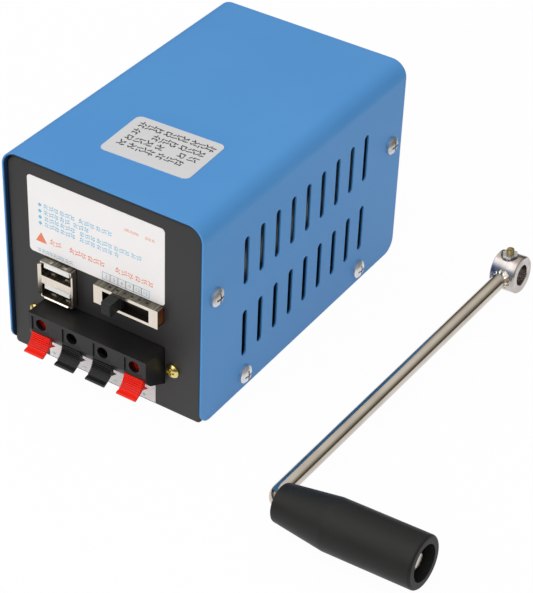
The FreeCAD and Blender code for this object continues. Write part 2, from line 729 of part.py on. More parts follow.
def make_usb_insulator():
    """White moulding: rear block and the two tongues."""
    x0 = USB_X - USB_W / 2 + USB_T
    x1 = USB_X + USB_W / 2 - USB_T
    z0 = USB_Z[0] + USB_T
    z1 = USB_Z[1] - USB_T
    back = USB_FRONT + USB_L - USB_T
    pieces = [box(x0, x1, back - USB_REAR_BLOCK, back, z0, z1)]
    half = USB_TONGUE_W / 2
    for floor in port_floors():
        pieces.append(box(USB_X - half, USB_X + half, USB_FRONT + USB_TONGUE_BACK, back,
                          tongue_top(floor) - USB_TONGUE_T, tongue_top(floor)))
    return fuse_all(pieces)


def make_usb_contacts():
    strips = []
    for floor in port_floors():
        under = tongue_top(floor) - USB_TONGUE_T
        for k in range(CONTACTS_PER_PORT):
            x = USB_X + (k - (CONTACTS_PER_PORT - 1) / 2) * CONTACT_PITCH
            strips.append(box(x - CONTACT_W / 2, x + CONTACT_W / 2,
                              USB_FRONT + USB_TONGUE_BACK + 1.0, USB_FRONT + USB_L - 5.0,
                              under - CONTACT_T, under))
    return strips


# ---- voltage switch -----------------------------------------------------------
SWITCH_FRONT = PANEL_Y - SWITCH_PROUD


def pin_places():
    return [(SWITCH_X + (k - (PIN_COLUMNS - 1) / 2) * PIN_PITCH, SWITCH_Z + side * PIN_ROW_Z)
            for k in range(PIN_COLUMNS) for side in (-1, 1)]


def pin_bar(x, z, y0, y1):
    return box(x - PIN_W / 2, x + PIN_W / 2, y0, y1, z - PIN_T / 2, z + PIN_T / 2)


def make_switch_frame():
    """Nickel-plated frame: face with the slot, and an upper and a lower fold."""
    x0 = SWITCH_X - SWITCH_W / 2
    x1 = SWITCH_X + SWITCH_W / 2
    z0 = SWITCH_Z - SWITCH_H / 2
    z1 = SWITCH_Z + SWITCH_H / 2
    inner = SWITCH_FRONT + FRAME_T
    frame = box(x0, x1, SWITCH_FRONT, SWITCH_FRONT + FRAME_L, z0, z1)
    frame = frame.cut(box(x0 - 1, x1 + 1, inner, SWITCH_FRONT + FRAME_L + 1,
                          z0 + FRAME_T, z1 - FRAME_T))
    half_w = SWITCH_SLOT_W / 2
    tools = [box(SWITCH_X - half_w, SWITCH_X + half_w, SWITCH_FRONT - 1, inner + 1,
                 *SWITCH_SLOT_Z)]
    for k in range(FRAME_HOLES):
        x = SWITCH_X + (k - (FRAME_HOLES - 1) / 2) * FRAME_HOLE_PITCH
        tools.append(box(x - FRAME_HOLE_W / 2, x + FRAME_HOLE_W / 2,
                         SWITCH_FRONT + FRAME_HOLE_Y[0], SWITCH_FRONT + FRAME_HOLE_Y[1],
                         z0 - 1, z1 + 1))
    return cut_all(frame, tools)


def make_switch_body():
    half_w = SWITCH_W / 2 - SWITCH_BODY_INSET
    half_h = SWITCH_H / 2 - FRAME_T - FIT_PLAY
    start = SWITCH_FRONT + FRAME_T
    body = box(SWITCH_X - half_w, SWITCH_X + half_w, start, start + SWITCH_BODY_L,
               SWITCH_Z - half_h, SWITCH_Z + half_h)
    wide = SWITCH_SLOT_W / 2 + TRACK_MARGIN[0]
    track = box(SWITCH_X - wide, SWITCH_X + wide, start - 1, start + TRACK_DEPTH,
                SWITCH_SLOT_Z[0] - TRACK_MARGIN[1], SWITCH_SLOT_Z[1] + TRACK_MARGIN[1])
    return body.cut(track)


def make_switch_knob():
    """At its second position from the left, with a foot that runs behind the frame."""
    x = SWITCH_X + (SWITCH_AT_STEP - SWITCH_STEPS / 2) * SWITCH_STEP
    half = KNOB_W / 2
    low = SWITCH_SLOT_Z[0] + KNOB_PLAY
    high = SWITCH_SLOT_Z[1] - KNOB_PLAY
    front = SWITCH_FRONT - KNOB_PROUD
    start = SWITCH_FRONT + FRAME_T
    stem = box(x - half, x + half, front, start + KNOB_PLAY, low, high)
    outer = [e for e in stem.Edges if e.BoundBox.YMin < front + 0.01]
    outer = [e for e in outer if e.BoundBox.YMax < start]
    stem = stem.makeFillet(KNOB_EDGE_R, outer)
    foot = box(x - half - KNOB_FOOT, x + half + KNOB_FOOT, start + KNOB_PLAY / 2,
               start + TRACK_DEPTH - KNOB_PLAY / 2, low - KNOB_FOOT, high + KNOB_FOOT)
    return fuse_all([stem, foot])


def make_switch_pins():
    start = SWITCH_FRONT + FRAME_T + SWITCH_BODY_L
    end = BOARD_FRONT + BOARD_T + PIN_PAST_BOARD
    return [pin_bar(x, z, start, end) for x, z in pin_places()]


# ---- push terminals -----------------------------------------------------------
def terminal_xs():
    return [TERMINALS_X + (k - (TERMINALS - 1) / 2) * TERMINAL_PITCH for k in range(TERMINALS)]


def cell_rear():
    """Back wall of each lever's cell."""
    return PANEL_Y - LEVER_PIVOT[0] + LEVER_BARREL_R + LEAF_T + LEAF_GAP


def wire_recess(x, front):
    """The recess around a wire hole: flat floor, sloping out at the bottom."""
    low = LEVER_HEAD_Z + LEVER_PLAY
    past = 0.5             # the cutter's overlap ahead of the face
    run = past / RECESS_FLOOR * (RECESS_FLOOR_Z - low)
    side = x - RECESS_W / 2
    floor = front + RECESS_FLOOR
    return prism([V(side, front - past, low - run), V(side, front - past, RECESS_TOP_Z),
                  V(side, floor, RECESS_TOP_Z), V(side, floor, RECESS_FLOOR_Z)],
                 V(RECESS_W, 0, 0))


def make_terminal_block():
    x0 = BLOCK_X - BLOCK_W / 2
    front = PANEL_Y - BLOCK_PROUD
    low, high = BLOCK_Z
    corner = V(x0, PANEL_Y - BLOCK_CORNER[0], BLOCK_CORNER[1])
    belly = V(x0, PANEL_Y - BLOCK_BELLY[0], BLOCK_BELLY[1])
    edges = [
        Part.makeLine(V(x0, PANEL_BACK, low), V(x0, PANEL_BACK, high)),
        Part.makeLine(V(x0, PANEL_BACK, high), V(x0, front, high)),
        Part.makeLine(V(x0, front, high), V(x0, front, BLOCK_FRONT_LOW_Z)),
        Part.Arc(V(x0, front, BLOCK_FRONT_LOW_Z), corner, belly).toShape(),
        Part.makeLine(belly, V(x0, PANEL_Y, low)),
        Part.makeLine(V(x0, PANEL_Y, low), V(x0, PANEL_BACK, low)),
    ]
    body = Part.Face(Part.Wire(edges)).extrude(V(BLOCK_W, 0, 0))
    half = BLOCK_FLANGE_W / 2
    flange = box(BLOCK_X - half, BLOCK_X + half, PANEL_BACK, PANEL_BACK + BLOCK_FLANGE_T,
                 low - BLOCK_FLANGE_PAST, high + BLOCK_FLANGE_PAST)
    block = body.fuse(flange)
    tools = []
    cell = LEVER_W / 2 + LEVER_PLAY
    pivot_y = PANEL_Y - LEVER_PIVOT[0]
    rear = cell_rear()
    for x in terminal_xs():
        tools.append(box(x - cell, x + cell, front + BLOCK_WALL, rear, 0, high - BLOCK_ROOF))
        tools.append(box(x - cell, x + cell, front - 1, front + BLOCK_WALL + 1,
                         0, LEVER_HEAD_Z + LEVER_PLAY))
        tools.append(rod_y((x, WIRE_HOLE_Z), front - 1, front + BLOCK_WALL + 1, WIRE_HOLE_R))
        reach = LEVER_W / 2 + LEVER_TRUNNION_L + TRUNNION_END_PLAY
        tools.append(rod_x(pivot_y, LEVER_PIVOT[1], x - reach, x + reach,
                           LEVER_TRUNNION_R + PIVOT_PLAY))
        tools.append(box(x - TAG_W / 2 - TAG_PLAY, x + TAG_W / 2 + TAG_PLAY, rear - 1,
                         PANEL_BACK + BLOCK_FLANGE_T + 1, TAG_Z - TAG_PLAY,
                         TAG_Z + TAG_T + TAG_PLAY))
    for x in TERMINAL_SCREW_X:
        tools.append(rod_y((x, TERMINAL_SCREW_Z), PANEL_BACK - 1,
                           PANEL_BACK + BLOCK_FLANGE_T + 1, TERMINAL_SCREW_R))
    for x in terminal_xs():
        block = block.cut(wire_recess(x, front))
    return cut_all(block, tools)


def lever_outline(x):
    """Side view: hollow ribbed face, lip, rear fin, barrel side and the arm above the pivot."""
    marks = [V(x, PANEL_Y - ahead, z) for ahead, z in LEVER_FACE]
    face = Part.Arc(*marks).toShape()
    first, last = face.ParameterRange
    points = []
    for k in range(LEVER_RIBS):
        for share, depth in LEVER_RIB_PROFILE:
            place = LEVER_RIBBED * (k + share) / LEVER_RIBS
            at = face.valueAt(first + (last - first) * place)
            away = (at - face.Curve.Center).normalize()
            points.append(at + away * (depth * LEVER_RIB_H))
    points.append(marks[-1])
    for ahead, z in LEVER_UNDER + LEVER_ARM:
        points.append(V(x, PANEL_Y - ahead, z))
    return points


def make_lever(x):
    half = LEVER_W / 2
    pivot_y = PANEL_Y - LEVER_PIVOT[0]
    reach = half + LEVER_TRUNNION_L
    blade = prism(lever_outline(x - half), V(LEVER_W, 0, 0))
    barrel = rod_x(pivot_y, LEVER_PIVOT[1], x - half, x + half, LEVER_BARREL_R)
    trunnion = rod_x(pivot_y, LEVER_PIVOT[1], x - reach, x + reach, LEVER_TRUNNION_R)
    lever = fuse_all([blade, barrel, trunnion])
    return lever.cut(rod_y((x, WIRE_HOLE_Z - LEVER_HOLE_DROP), pivot_y - LEVER_HOLE_L / 2,
                           pivot_y + LEVER_HOLE_L / 2, LEVER_HOLE_R))


def make_terminal_contacts():
    leaves = []
    rear = cell_rear()
    end = PANEL_BACK + BLOCK_FLANGE_T + TAG_PAST_FLANGE
    for x in terminal_xs():
        half = LEAF_W / 2
        leaf = box(x - half, x + half, rear - LEAF_T, rear, LEAF_BASE_Z,
                   BLOCK_Z[1] - BLOCK_ROOF - LEVER_PLAY)
        tag = box(x - TAG_W / 2, x + TAG_W / 2, rear - LEAF_T, end, TAG_Z, TAG_Z + TAG_T)
        leaves.append(leaf.fuse(tag).removeSplitter())
    return leaves


def make_terminal_screws():
    screw = pan_screw(TERMINAL_SCREW_HEAD_R, TERMINAL_SCREW_HEAD_H, TERMINAL_SCREW_R,
                      TERMINAL_SCREW_L)
    return [turned(screw, (0, -1, 0), (x, PANEL_Y, TERMINAL_SCREW_Z))
            for x in TERMINAL_SCREW_X]


# ---- circuit board ------------------------------------------------------------
def standoff_places():
    x = BOARD_HALF_W - STANDOFF_INSET
    heights = (BOARD_Z[0] + STANDOFF_INSET, BOARD_Z[1] - STANDOFF_INSET)
    return [(side * x, z) for side in (-1, 1) for z in heights]


def make_circuit_board():
    board = plate_xz(-BOARD_HALF_W, BOARD_HALF_W, *BOARD_Z, (BOARD_R,) * 4,
                     BOARD_FRONT, BOARD_FRONT + BOARD_T)
    tools = []
    for at in standoff_places():
        tools.append(rod_y(at, BOARD_FRONT - 1, BOARD_FRONT + BOARD_T + 1,
                           BOARD_SCREW_R + SCREW_HOLE_PLAY))
    for x, z in pin_places():
        tools.append(pin_bar(x, z, BOARD_FRONT - 1, BOARD_FRONT + BOARD_T + 1))
    return cut_all(board, tools)


def make_board_standoffs():
    length = BOARD_FRONT - PANEL_BACK
    posts = []
    for x, z in standoff_places():
        post = hexagon(STANDOFF_AF, length)
        post = turned(post, (0, 1, 0), (x, PANEL_BACK, z))
        posts.append(post.cut(rod_y((x, z), BOARD_FRONT - STANDOFF_THREAD_L, BOARD_FRONT + 1,
                                    BOARD_SCREW_R)))
    return posts


def make_board_screws():
    screw = pan_screw(BOARD_SCREW_HEAD_R, BOARD_SCREW_HEAD_H, BOARD_SCREW_R, BOARD_SCREW_L)
    return [turned(screw, (0, 1, 0), (x, BOARD_FRONT + BOARD_T, z))
            for x, z in standoff_places()]


def make_capacitors():
    cans = []
    back = BOARD_FRONT + BOARD_T
    for x, z, r, length in CAPACITORS:
        can = rod_y((x, z), back, back + length, r)
        near, far = CAPACITOR_GROOVE
        groove = tube_y((x, z), back + near, back + far, r + 1, r - CAPACITOR_GROOVE_DEPTH)
        cans.append(can.cut(groove))
    return cans


def make_inductor():
    back = BOARD_FRONT + BOARD_T
    core = tube_y(INDUCTOR_AT, back, back + INDUCTOR_H, INDUCTOR_R, INDUCTOR_HOLE_R)
    rims = [e for e in core.Edges if e.BoundBox.YMax - e.BoundBox.YMin < 1e-6]
    return core.makeChamfer(INDUCTOR_EDGE, rims)


def make_heat_sink():
    """Finned extrusion with the regulator clamped under it."""
    x, z = HEAT_SINK_AT
    half = HEAT_SINK_W / 2
    y0 = BOARD_FRONT + BOARD_T + REGULATOR_T
    tips = CAN_END - CAP_T - HEAT_SINK_GAP
    back = box(x - half, x + half, y0, y0 + HEAT_SINK_BACK_T,
               z - HEAT_SINK_H / 2, z + HEAT_SINK_H / 2)
    pieces = [back]
    for k in range(HEAT_SINK_FINS):
        fin_x = x - half + k * (HEAT_SINK_W - HEAT_SINK_FIN_T) / (HEAT_SINK_FINS - 1)
        pieces.append(box(fin_x, fin_x + HEAT_SINK_FIN_T, y0, tips,
                          z - HEAT_SINK_H / 2, z + HEAT_SINK_H / 2))
    return fuse_all(pieces)


def make_regulator():
    x, z = HEAT_SINK_AT
    y0 = BOARD_FRONT + BOARD_T
    return box(x - REGULATOR_W / 2, x + REGULATOR_W / 2, y0, y0 + REGULATOR_T,
               z - REGULATOR_H / 2, z + REGULATOR_H / 2)


def make_board_chips():
    y0 = BOARD_FRONT + BOARD_T
    return [box(x - w / 2, x + w / 2, y0, y0 + CHIP_T, z - h / 2, z + h / 2)
            for x, z, w, h in CHIPS]


# ---- gearbox ------------------------------------------------------------------
def involute(angle):
    return math.tan(angle) - angle


def gear_wire(at, y, module, teeth, phase):
    """Involute outline; phase is the direction of one tooth's middle."""
    pitch_r = module * teeth / 2
    base_r = pitch_r * math.cos(PRESSURE_ANGLE)
    tip_r = pitch_r + ADDENDUM * module
    root_r = pitch_r - DEDENDUM * module
    half_tooth = math.pi / (2 * teeth) - TOOTH_PLAY / (2 * pitch_r)

    def half_angle(r):
        if r <= base_r:
            return half_tooth + involute(PRESSURE_ANGLE)
        return half_tooth + involute(PRESSURE_ANGLE) - involute(math.acos(base_r / r))

    def point(r, angle):
        return V(at[0] + r * math.cos(angle), y, at[1] + r * math.sin(angle))

    edges = []
    flank_r = max(base_r, root_r)
    middle_r = (flank_r + tip_r) / 2
    step = 2 * math.pi / teeth
    for k in range(teeth):
        middle = phase + k * step
        rise = [point(r, middle - half_angle(r)) for r in (flank_r, middle_r, tip_r)]
        fall = [point(r, middle + half_angle(r)) for r in (tip_r, middle_r, flank_r)]
        foot = point(root_r, middle - half_angle(flank_r))
        heel = point(root_r, middle + half_angle(flank_r))
        following = point(root_r, middle + step - half_angle(flank_r))
        if root_r < flank_r:
            edges.append(Part.makeLine(foot, rise[0]))
        edges.append(Part.Arc(*rise).toShape())
        edges.append(Part.Arc(rise[2], point(tip_r, middle), fall[0]).toShape())
        edges.append(Part.Arc(*fall).toShape())
        if root_r < flank_r:
            edges.append(Part.makeLine(fall[2], heel))
        edges.append(Part.Arc(heel, point(root_r, middle + step / 2), following).toShape())
    return Part.Wire(edges)


def gear_blank(at, y0, y1, module, teeth, phase):
    return Part.Face(gear_wire(at, y0, module, teeth, phase)).extrude(V(0, y1 - y0, 0))


def meshing_phase(phase, teeth, teeth_other, angle):
    """Phase of a gear seen at angle from a gear that has a tooth at phase."""
    share = ((angle - phase) * teeth / (2 * math.pi)) % 1.0
    return angle + math.pi - (0.5 - share) * 2 * math.pi / teeth_other


DRIVE_PHASE = 0.0
FIRST_PHASE = meshing_phase(DRIVE_PHASE, DRIVE_TEETH, PINION_TEETH, FIRST_ANGLE)
SECOND_PHASE = meshing_phase(FIRST_PHASE, FIRST_TEETH, PINION_TEETH, SECOND_ANGLE)
MACHINE_PHASE = meshing_phase(SECOND_PHASE, SECOND_TEETH, PINION_TEETH, MACHINE_ANGLE)


def plate(y0):
    return plate_xz(-PLATE_HALF_W, PLATE_HALF_W, AXIS_Z - PLATE_HALF_H, AXIS_Z + PLATE_HALF_H,
                    (PLATE_R,) * 4, y0, y0 + PLATE_T)


def make_rear_plate():
    y0 = PLATE_REAR_Y
    tools = [rod_y(DRIVE_AT, y0 - 1, y0 + PLATE_T + 1, BUSH_R)]
    for at in (FIRST_AT, SECOND_AT):
        tools.append(rod_y(at, y0 - 1, y0 + PLATE_T + 1, CLUSTER_SHAFT_R + RUN_PLAY))
    for at in pillar_places():
        tools.append(rod_y(at, y0 - 1, y0 + PLATE_T + 1, GEARBOX_SCREW_R + SCREW_HOLE_PLAY))
    return cut_all(plate(y0), tools)


def machine_screw_places():
    return [(MACHINE_AT[0] + side * MOUNT_CIRCLE_R, MACHINE_AT[1]) for side in (-1, 1)]


def machine_screw(at, play):
    """Countersunk screw from the gear side of the front plate into the can."""
    head_l = MOUNT_SCREW_HEAD_R - MOUNT_SCREW_R
    top = PLATE_FRONT_Y
    shank = rod_y(at, CAN_FACE - MOUNT_SCREW_IN_CAN, top - head_l / 2, MOUNT_SCREW_R + play)
    head = Part.makeCone(MOUNT_SCREW_R + play, MOUNT_SCREW_HEAD_R + play, head_l,
                         V(at[0], top - head_l, at[1]), V(0, 1, 0))
    return shank.fuse(head).removeSplitter()


def make_front_plate():
    y0 = CAN_FACE
    tools = [rod_y(DRIVE_AT, y0 - 1, y0 + PLATE_T + 1, BUSH_R - 1),
             rod_y(MACHINE_AT, y0 - 1, y0 + PLATE_T + 1, CAN_BOSS_R + 0.1)]
    for at in (FIRST_AT, SECOND_AT):
        tools.append(rod_y(at, y0 - 1, y0 + PLATE_T + 1, CLUSTER_SHAFT_R + RUN_PLAY))
    for at in pillar_places():
        tools.append(rod_y(at, y0 - 1, y0 + PLATE_T + 1, PILLAR_RIVET_R))
    for at in machine_screw_places():
        tools.append(machine_screw(at, 0.0))
    return cut_all(plate(y0), tools)


def make_pillars():
    """Spacers riveted into the front plate and tapped from the rear."""
    pillars = []
    for at in pillar_places():
        body = rod_y(at, PLATE_FRONT_Y, PLATE_REAR_Y, PILLAR_R)
        rivet = rod_y(at, CAN_FACE - PILLAR_RIVET_HEAD, PLATE_FRONT_Y, PILLAR_RIVET_R)
        tapped = rod_y(at, PLATE_REAR_Y - GEARBOX_SCREW_L + PLATE_T, PLATE_REAR_Y + 1,
                       GEARBOX_SCREW_R)
        pillars.append(fuse_all([body, rivet]).cut(tapped))
    return pillars


def make_gearbox_screws():
    length = GEARBOX_SCREW_L + CHASSIS_T - 0.5
    screw = pan_screw(GEARBOX_SCREW_HEAD_R, COVER_SCREW_HEAD_H, GEARBOX_SCREW_R, length)
    return [turned(screw, (0, 1, 0), (x, REAR_PANEL_Y, z)) for x, z in pillar_places()]


def make_shaft_bushes():
    bore = DRIVE_SHAFT_R + RUN_PLAY
    rear = fuse_all([rod_y(DRIVE_AT, PLATE_REAR_Y, REAR_PANEL_Y, BUSH_R),
                     rod_y(DRIVE_AT, REAR_PANEL_Y, REAR_PANEL_Y + BUSH_FLANGE_T, BUSH_FLANGE_R)])
    rear = rear.cut(rod_y(DRIVE_AT, PLATE_REAR_Y - 1, REAR_PANEL_Y + BUSH_FLANGE_T + 1, bore))
    front = tube_y(DRIVE_AT, CAN_FACE, PLATE_FRONT_Y, BUSH_R - 1, DRIVE_JOURNAL_R + RUN_PLAY)
    return [rear, front]


def make_drive_shaft():
    end = REAR_PANEL_Y + SHAFT_OUT
    shoulder = PLATE_FRONT_Y + JOURNAL_STEP
    shaft = fuse_all([rod_y(DRIVE_AT, CAN_FACE + END_PLAY, shoulder, DRIVE_JOURNAL_R),
                      rod_y(DRIVE_AT, shoulder, end, DRIVE_SHAFT_R)])
    tip = [e for e in shaft.Edges if e.BoundBox.YMin > end - 0.01]
    shaft = shaft.makeChamfer(SHAFT_EDGE, tip)
    groove_y = REAR_PANEL_Y + BUSH_FLANGE_T + END_PLAY
    groove = tube_y(DRIVE_AT, groove_y, groove_y + RING_T, DRIVE_SHAFT_R + 1,
                    DRIVE_SHAFT_R - RING_GROOVE)
    return shaft.cut(groove)


def make_retaining_ring():
    y0 = REAR_PANEL_Y + BUSH_FLANGE_T + END_PLAY
    ring = tube_y(DRIVE_AT, y0, y0 + RING_T, RING_R, DRIVE_SHAFT_R - RING_GROOVE)
    gap = box(-RING_GAP_W / 2, RING_GAP_W / 2, y0 - 1, y0 + RING_T + 1, AXIS_Z - RING_R - 1, AXIS_Z)
    return ring.cut(gap)


def make_drive_gear():
    y1 = LAYER_1 + GEAR_T
    gear = gear_blank(DRIVE_AT, LAYER_1, y1, DRIVE_MODULE, DRIVE_TEETH, DRIVE_PHASE)
    hub = rod_y(DRIVE_AT, LAYER_1 - DRIVE_HUB_L, y1, DRIVE_HUB_R)
    gear = fuse_all([gear, hub])
    tools = [rod_y(DRIVE_AT, LAYER_1 - DRIVE_HUB_L - 1, y1 + 1, DRIVE_SHAFT_R)]
    for k in range(WEB_HOLES):
        at = polar(DRIVE_AT, WEB_HOLE_AT, 2 * math.pi * k / WEB_HOLES)
        tools.append(rod_y(at, LAYER_1 - 1, y1 + 1, WEB_HOLE_R))
    return cut_all(gear, tools)


def cluster(at, pinion_y, pinion_module, gear_y, gear_teeth, phase):
    """Pinion and wheel cut from one piece, with teeth in line at the same phase."""
    pinion = gear_blank(at, pinion_y, pinion_y + GEAR_T, pinion_module, PINION_TEETH, phase)
    wheel = gear_blank(at, gear_y, gear_y + GEAR_T, TRAIN_MODULE, gear_teeth, phase)
    neck_r = pinion_module * (PINION_TEETH / 2 - DEDENDUM) - NECK_UNDER_ROOT
    neck = rod_y(at, min(pinion_y, gear_y), max(pinion_y, gear_y) + GEAR_T, neck_r)
    whole = fuse_all([pinion, wheel, neck])
    return whole.cut(rod_y(at, gear_y - 1, pinion_y + GEAR_T + 1, CLUSTER_SHAFT_R))


def cluster_shaft(at):
    return rod_y(at, CAN_FACE + END_PLAY, PLATE_REAR_Y + PLATE_T - END_PLAY, CLUSTER_SHAFT_R)


# ---- permanent-magnet machine -------------------------------------------------
def make_can():
    body = rod_y(MACHINE_AT, CAN_END, CAN_FACE, CAN_R)
    rim = [e for e in body.Edges if e.BoundBox.YMin > CAN_FACE - 0.01]
    body = body.makeChamfer(CAN_EDGE, rim)
    body = body.cut(rod_y(MACHINE_AT, CAN_END - 1, CAN_FACE - CAN_T, CAN_R - CAN_T))
    boss = rod_y(MACHINE_AT, CAN_FACE - CAN_T, PLATE_FRONT_Y - END_PLAY, CAN_BOSS_R)
    body = fuse_all([body, boss])
    tools = [rod_y(MACHINE_AT, CAN_FACE - CAN_T - 1, PLATE_FRONT_Y + 1, MACHINE_BUSH_R)]
    for at in machine_screw_places():
        tools.append(rod_y(at, CAN_FACE - CAN_T - 1, CAN_FACE + 1, MOUNT_SCREW_R))
    return cut_all(body, tools)


def make_magnets():
    outer_r = CAN_R - CAN_T - MAGNET_PLAY
    y1 = CAN_FACE - MAGNET_FROM
    magnets = []
    for side in (0, 180):
        ring = Part.makeCylinder(outer_r, MAGNET_L, V(MACHINE_AT[0], y1, MACHINE_AT[1]),
                                 V(0, -1, 0), 2 * MAGNET_HALF_ANGLE)
        ring = ring.cut(rod_y(MACHINE_AT, y1 - MAGNET_L - 1, y1 + 1, outer_r - MAGNET_T))
        middle = ring.Solids[0].CenterOfMass
        now = math.degrees(math.atan2(middle.z - MACHINE_AT[1], middle.x - MACHINE_AT[0]))
        # a turn about +Y lowers the angle measured from +X to +Z
        ring.rotate(V(MACHINE_AT[0], 0, MACHINE_AT[1]), V(0, 1, 0), now - side)
        magnets.append(ring)
    return magnets


def brush_y():
    return CAN_END + BRUSH_FROM_CAP


def tag_bar(side, y0, y1, play):
    half_w = TERMINAL_TAG_W / 2 + play
    half_t = TERMINAL_TAG_T / 2 + play
    z = MACHINE_AT[1] + side * TERMINAL_TAG_AT
    return box(MACHINE_AT[0] - half_w, MACHINE_AT[0] + half_w, y0, y1, z - half_t, z + half_t)


def make_end_cap():
    outer = rod_y(MACHINE_AT, CAN_END - CAP_T, CAN_END, CAN_R - CAP_INSET)
    inside = CAN_R - CAN_T
    skirt = tube_y(MACHINE_AT, CAN_END, CAN_END + CAP_SKIRT, inside - CAP_SKIRT_PLAY,
                   inside - CAP_SKIRT_DEPTH)
    boss = rod_y(MACHINE_AT, CAN_END - CAP_T - CAP_BOSS_L, CAN_END - CAP_T, CAP_BOSS_R)
    pieces = [outer, skirt, boss]
    for side in (-1, 1):
        half = BRUSH_L / 2 + HOLDER_END
        z = MACHINE_AT[1] + side * (COMMUTATOR_R + HOLDER_GAP + half)
        pieces.append(box(MACHINE_AT[0] - BRUSH_W / 2 - HOLDER_WALL,
                          MACHINE_AT[0] + BRUSH_W / 2 + HOLDER_WALL,
                          CAN_END, brush_y() + BRUSH_H + HOLDER_WALL, z - half, z + half))
    cap = fuse_all(pieces)
    tools = [rod_y(MACHINE_AT, CAN_END - CAP_T - CAP_BOSS_L - 1, CAN_END + 1, MACHINE_BUSH_R)]
    for side in (-1, 1):
        z = MACHINE_AT[1] + side * (COMMUTATOR_R + BRUSH_SLOT_AT)
        half = BRUSH_W / 2 + BRUSH_PLAY
        tools.append(box(MACHINE_AT[0] - half, MACHINE_AT[0] + half,
                         brush_y() - BRUSH_PLAY, brush_y() + BRUSH_H + BRUSH_PLAY,
                         z - BRUSH_SLOT_L / 2, z + BRUSH_SLOT_L / 2))
        tools.append(tag_bar(side, CAN_END - CAP_T - 1, CAN_END + 1, FIT_PLAY))
    return cut_all(cap, tools)


def make_machine_bushes():
    bore = MACHINE_SHAFT_R + RUN_PLAY
    front = tube_y(MACHINE_AT, CAN_FACE - CAN_T - BUSH_IN_CAN, PLATE_FRONT_Y - END_PLAY,
                   MACHINE_BUSH_R, bore)
    rear = tube_y(MACHINE_AT, CAN_END - CAP_T - CAP_BOSS_L, CAN_END - END_PLAY,
                  MACHINE_BUSH_R, bore)
    return [front, rear]


def make_brushes():
    """Two carbon blocks, each with its brass tag through the end cap."""
    solids = []
    for side in (-1, 1):
        near = MACHINE_AT[1] + side * (COMMUTATOR_R + BRUSH_GAP)
        far = MACHINE_AT[1] + side * (COMMUTATOR_R + BRUSH_GAP + BRUSH_L)
        solids.append(box(MACHINE_AT[0] - BRUSH_W / 2, MACHINE_AT[0] + BRUSH_W / 2,
                          brush_y(), brush_y() + BRUSH_H, min(near, far), max(near, far)))
    return solids


def make_machine_tags():
    return [tag_bar(side, CAN_END - CAP_T - TERMINAL_TAG_OUT, CAN_END + TERMINAL_TAG_IN, 0)
            for side in (-1, 1)]


def armature_span():
    y1 = CAN_FACE - ARMATURE_FROM
    return y1 - ARMATURE_L, y1


def make_armature_core():
    y0, y1 = armature_span()
    core = rod_y(MACHINE_AT, y0, y1, ARMATURE_R)
    tools = [rod_y(MACHINE_AT, y0 - 1, y1 + 1, MACHINE_SHAFT_R)]
    for k in range(ARMATURE_SLOTS):
        half = ARMATURE_SLOT_W / 2
        slot = box(SLOT_INNER_R, SLOT_OUTER_R, y0 - 1, y1 + 1, -half, half)
        mouth = box(SLOT_OUTER_R - 1, ARMATURE_R + 1, y0 - 1, y1 + 1,
                    -SLOT_MOUTH_W / 2, SLOT_MOUTH_W / 2)
        tool = slot.fuse(mouth)
        tool.rotate(V(0, 0, 0), V(0, 1, 0), 360.0 * k / ARMATURE_SLOTS)
        tool.translate(V(MACHINE_AT[0], 0, MACHINE_AT[1]))
        tools.append(tool)
    return cut_all(core, tools)


def make_windings():
    y0, y1 = armature_span()
    inner, outer = END_TURN_R
    pieces = [tube_y(MACHINE_AT, y1 + END_TURN_GAP, y1 + END_TURN_L, outer, inner),
              tube_y(MACHINE_AT, y0 - END_TURN_L, y0 - END_TURN_GAP, outer, inner)]
    half = ARMATURE_SLOT_W / 2 - WINDING_PLAY
    for k in range(ARMATURE_SLOTS):
        bundle = box(SLOT_INNER_R + WINDING_PLAY, SLOT_OUTER_R - WINDING_PLAY,
                     y0 - 1, y1 + 1, -half, half)
        bundle.rotate(V(0, 0, 0), V(0, 1, 0), 360.0 * k / ARMATURE_SLOTS)
        bundle.translate(V(MACHINE_AT[0], 0, MACHINE_AT[1]))
        pieces.append(bundle)
    return fuse_all(pieces)


def make_commutator():
    y0 = brush_y() - COMMUTATOR_PAST_BRUSH
    half = COMMUTATOR_GROOVE_W / 2
    drum = tube_y(MACHINE_AT, y0, y0 + COMMUTATOR_L, COMMUTATOR_R, MACHINE_SHAFT_R)
    tools = []
    for k in range(COMMUTATOR_BARS):
        groove = box(COMMUTATOR_R - COMMUTATOR_GROOVE_DEPTH, COMMUTATOR_R + 1,
                     y0 - 1, y0 + COMMUTATOR_L + 1, -half, half)
        groove.rotate(V(0, 0, 0), V(0, 1, 0), 360.0 * (k + 0.5) / COMMUTATOR_BARS)
        groove.translate(V(MACHINE_AT[0], 0, MACHINE_AT[1]))
        tools.append(groove)
    return cut_all(drum, tools)


def make_machine_shaft():
    return rod_y(MACHINE_AT, CAN_END - CAP_T - CAP_BOSS_L + SHAFT_INSET,
                 LAYER_3 + GEAR_T + SHAFT_PAST_PINION, MACHINE_SHAFT_R)


def make_machine_pinion():
    pinion = gear_blank(MACHINE_AT, LAYER_3, LAYER_3 + GEAR_T, TRAIN_MODULE, PINION_TEETH,
                        MACHINE_PHASE)
    return pinion.cut(rod_y(MACHINE_AT, LAYER_3 - 1, LAYER_3 + GEAR_T + 1, MACHINE_SHAFT_R))


def make_machine_screws():
    return [machine_screw(at, 0.0) for at in machine_screw_places()]


# ---- crank --------------------------------------------------------------------
# on the table the grip's shoulder and the hub's inner rim touch, the arm is level
CRANK_TILT = math.atan((GRIP_R - HUB_R) / (GRIP_SHOULDER - HUB_FROM))
CRANK_Z = GRIP_R * math.cos(CRANK_TILT) - GRIP_SHOULDER * math.sin(CRANK_TILT)
CRANK_CLEAR = 0.02


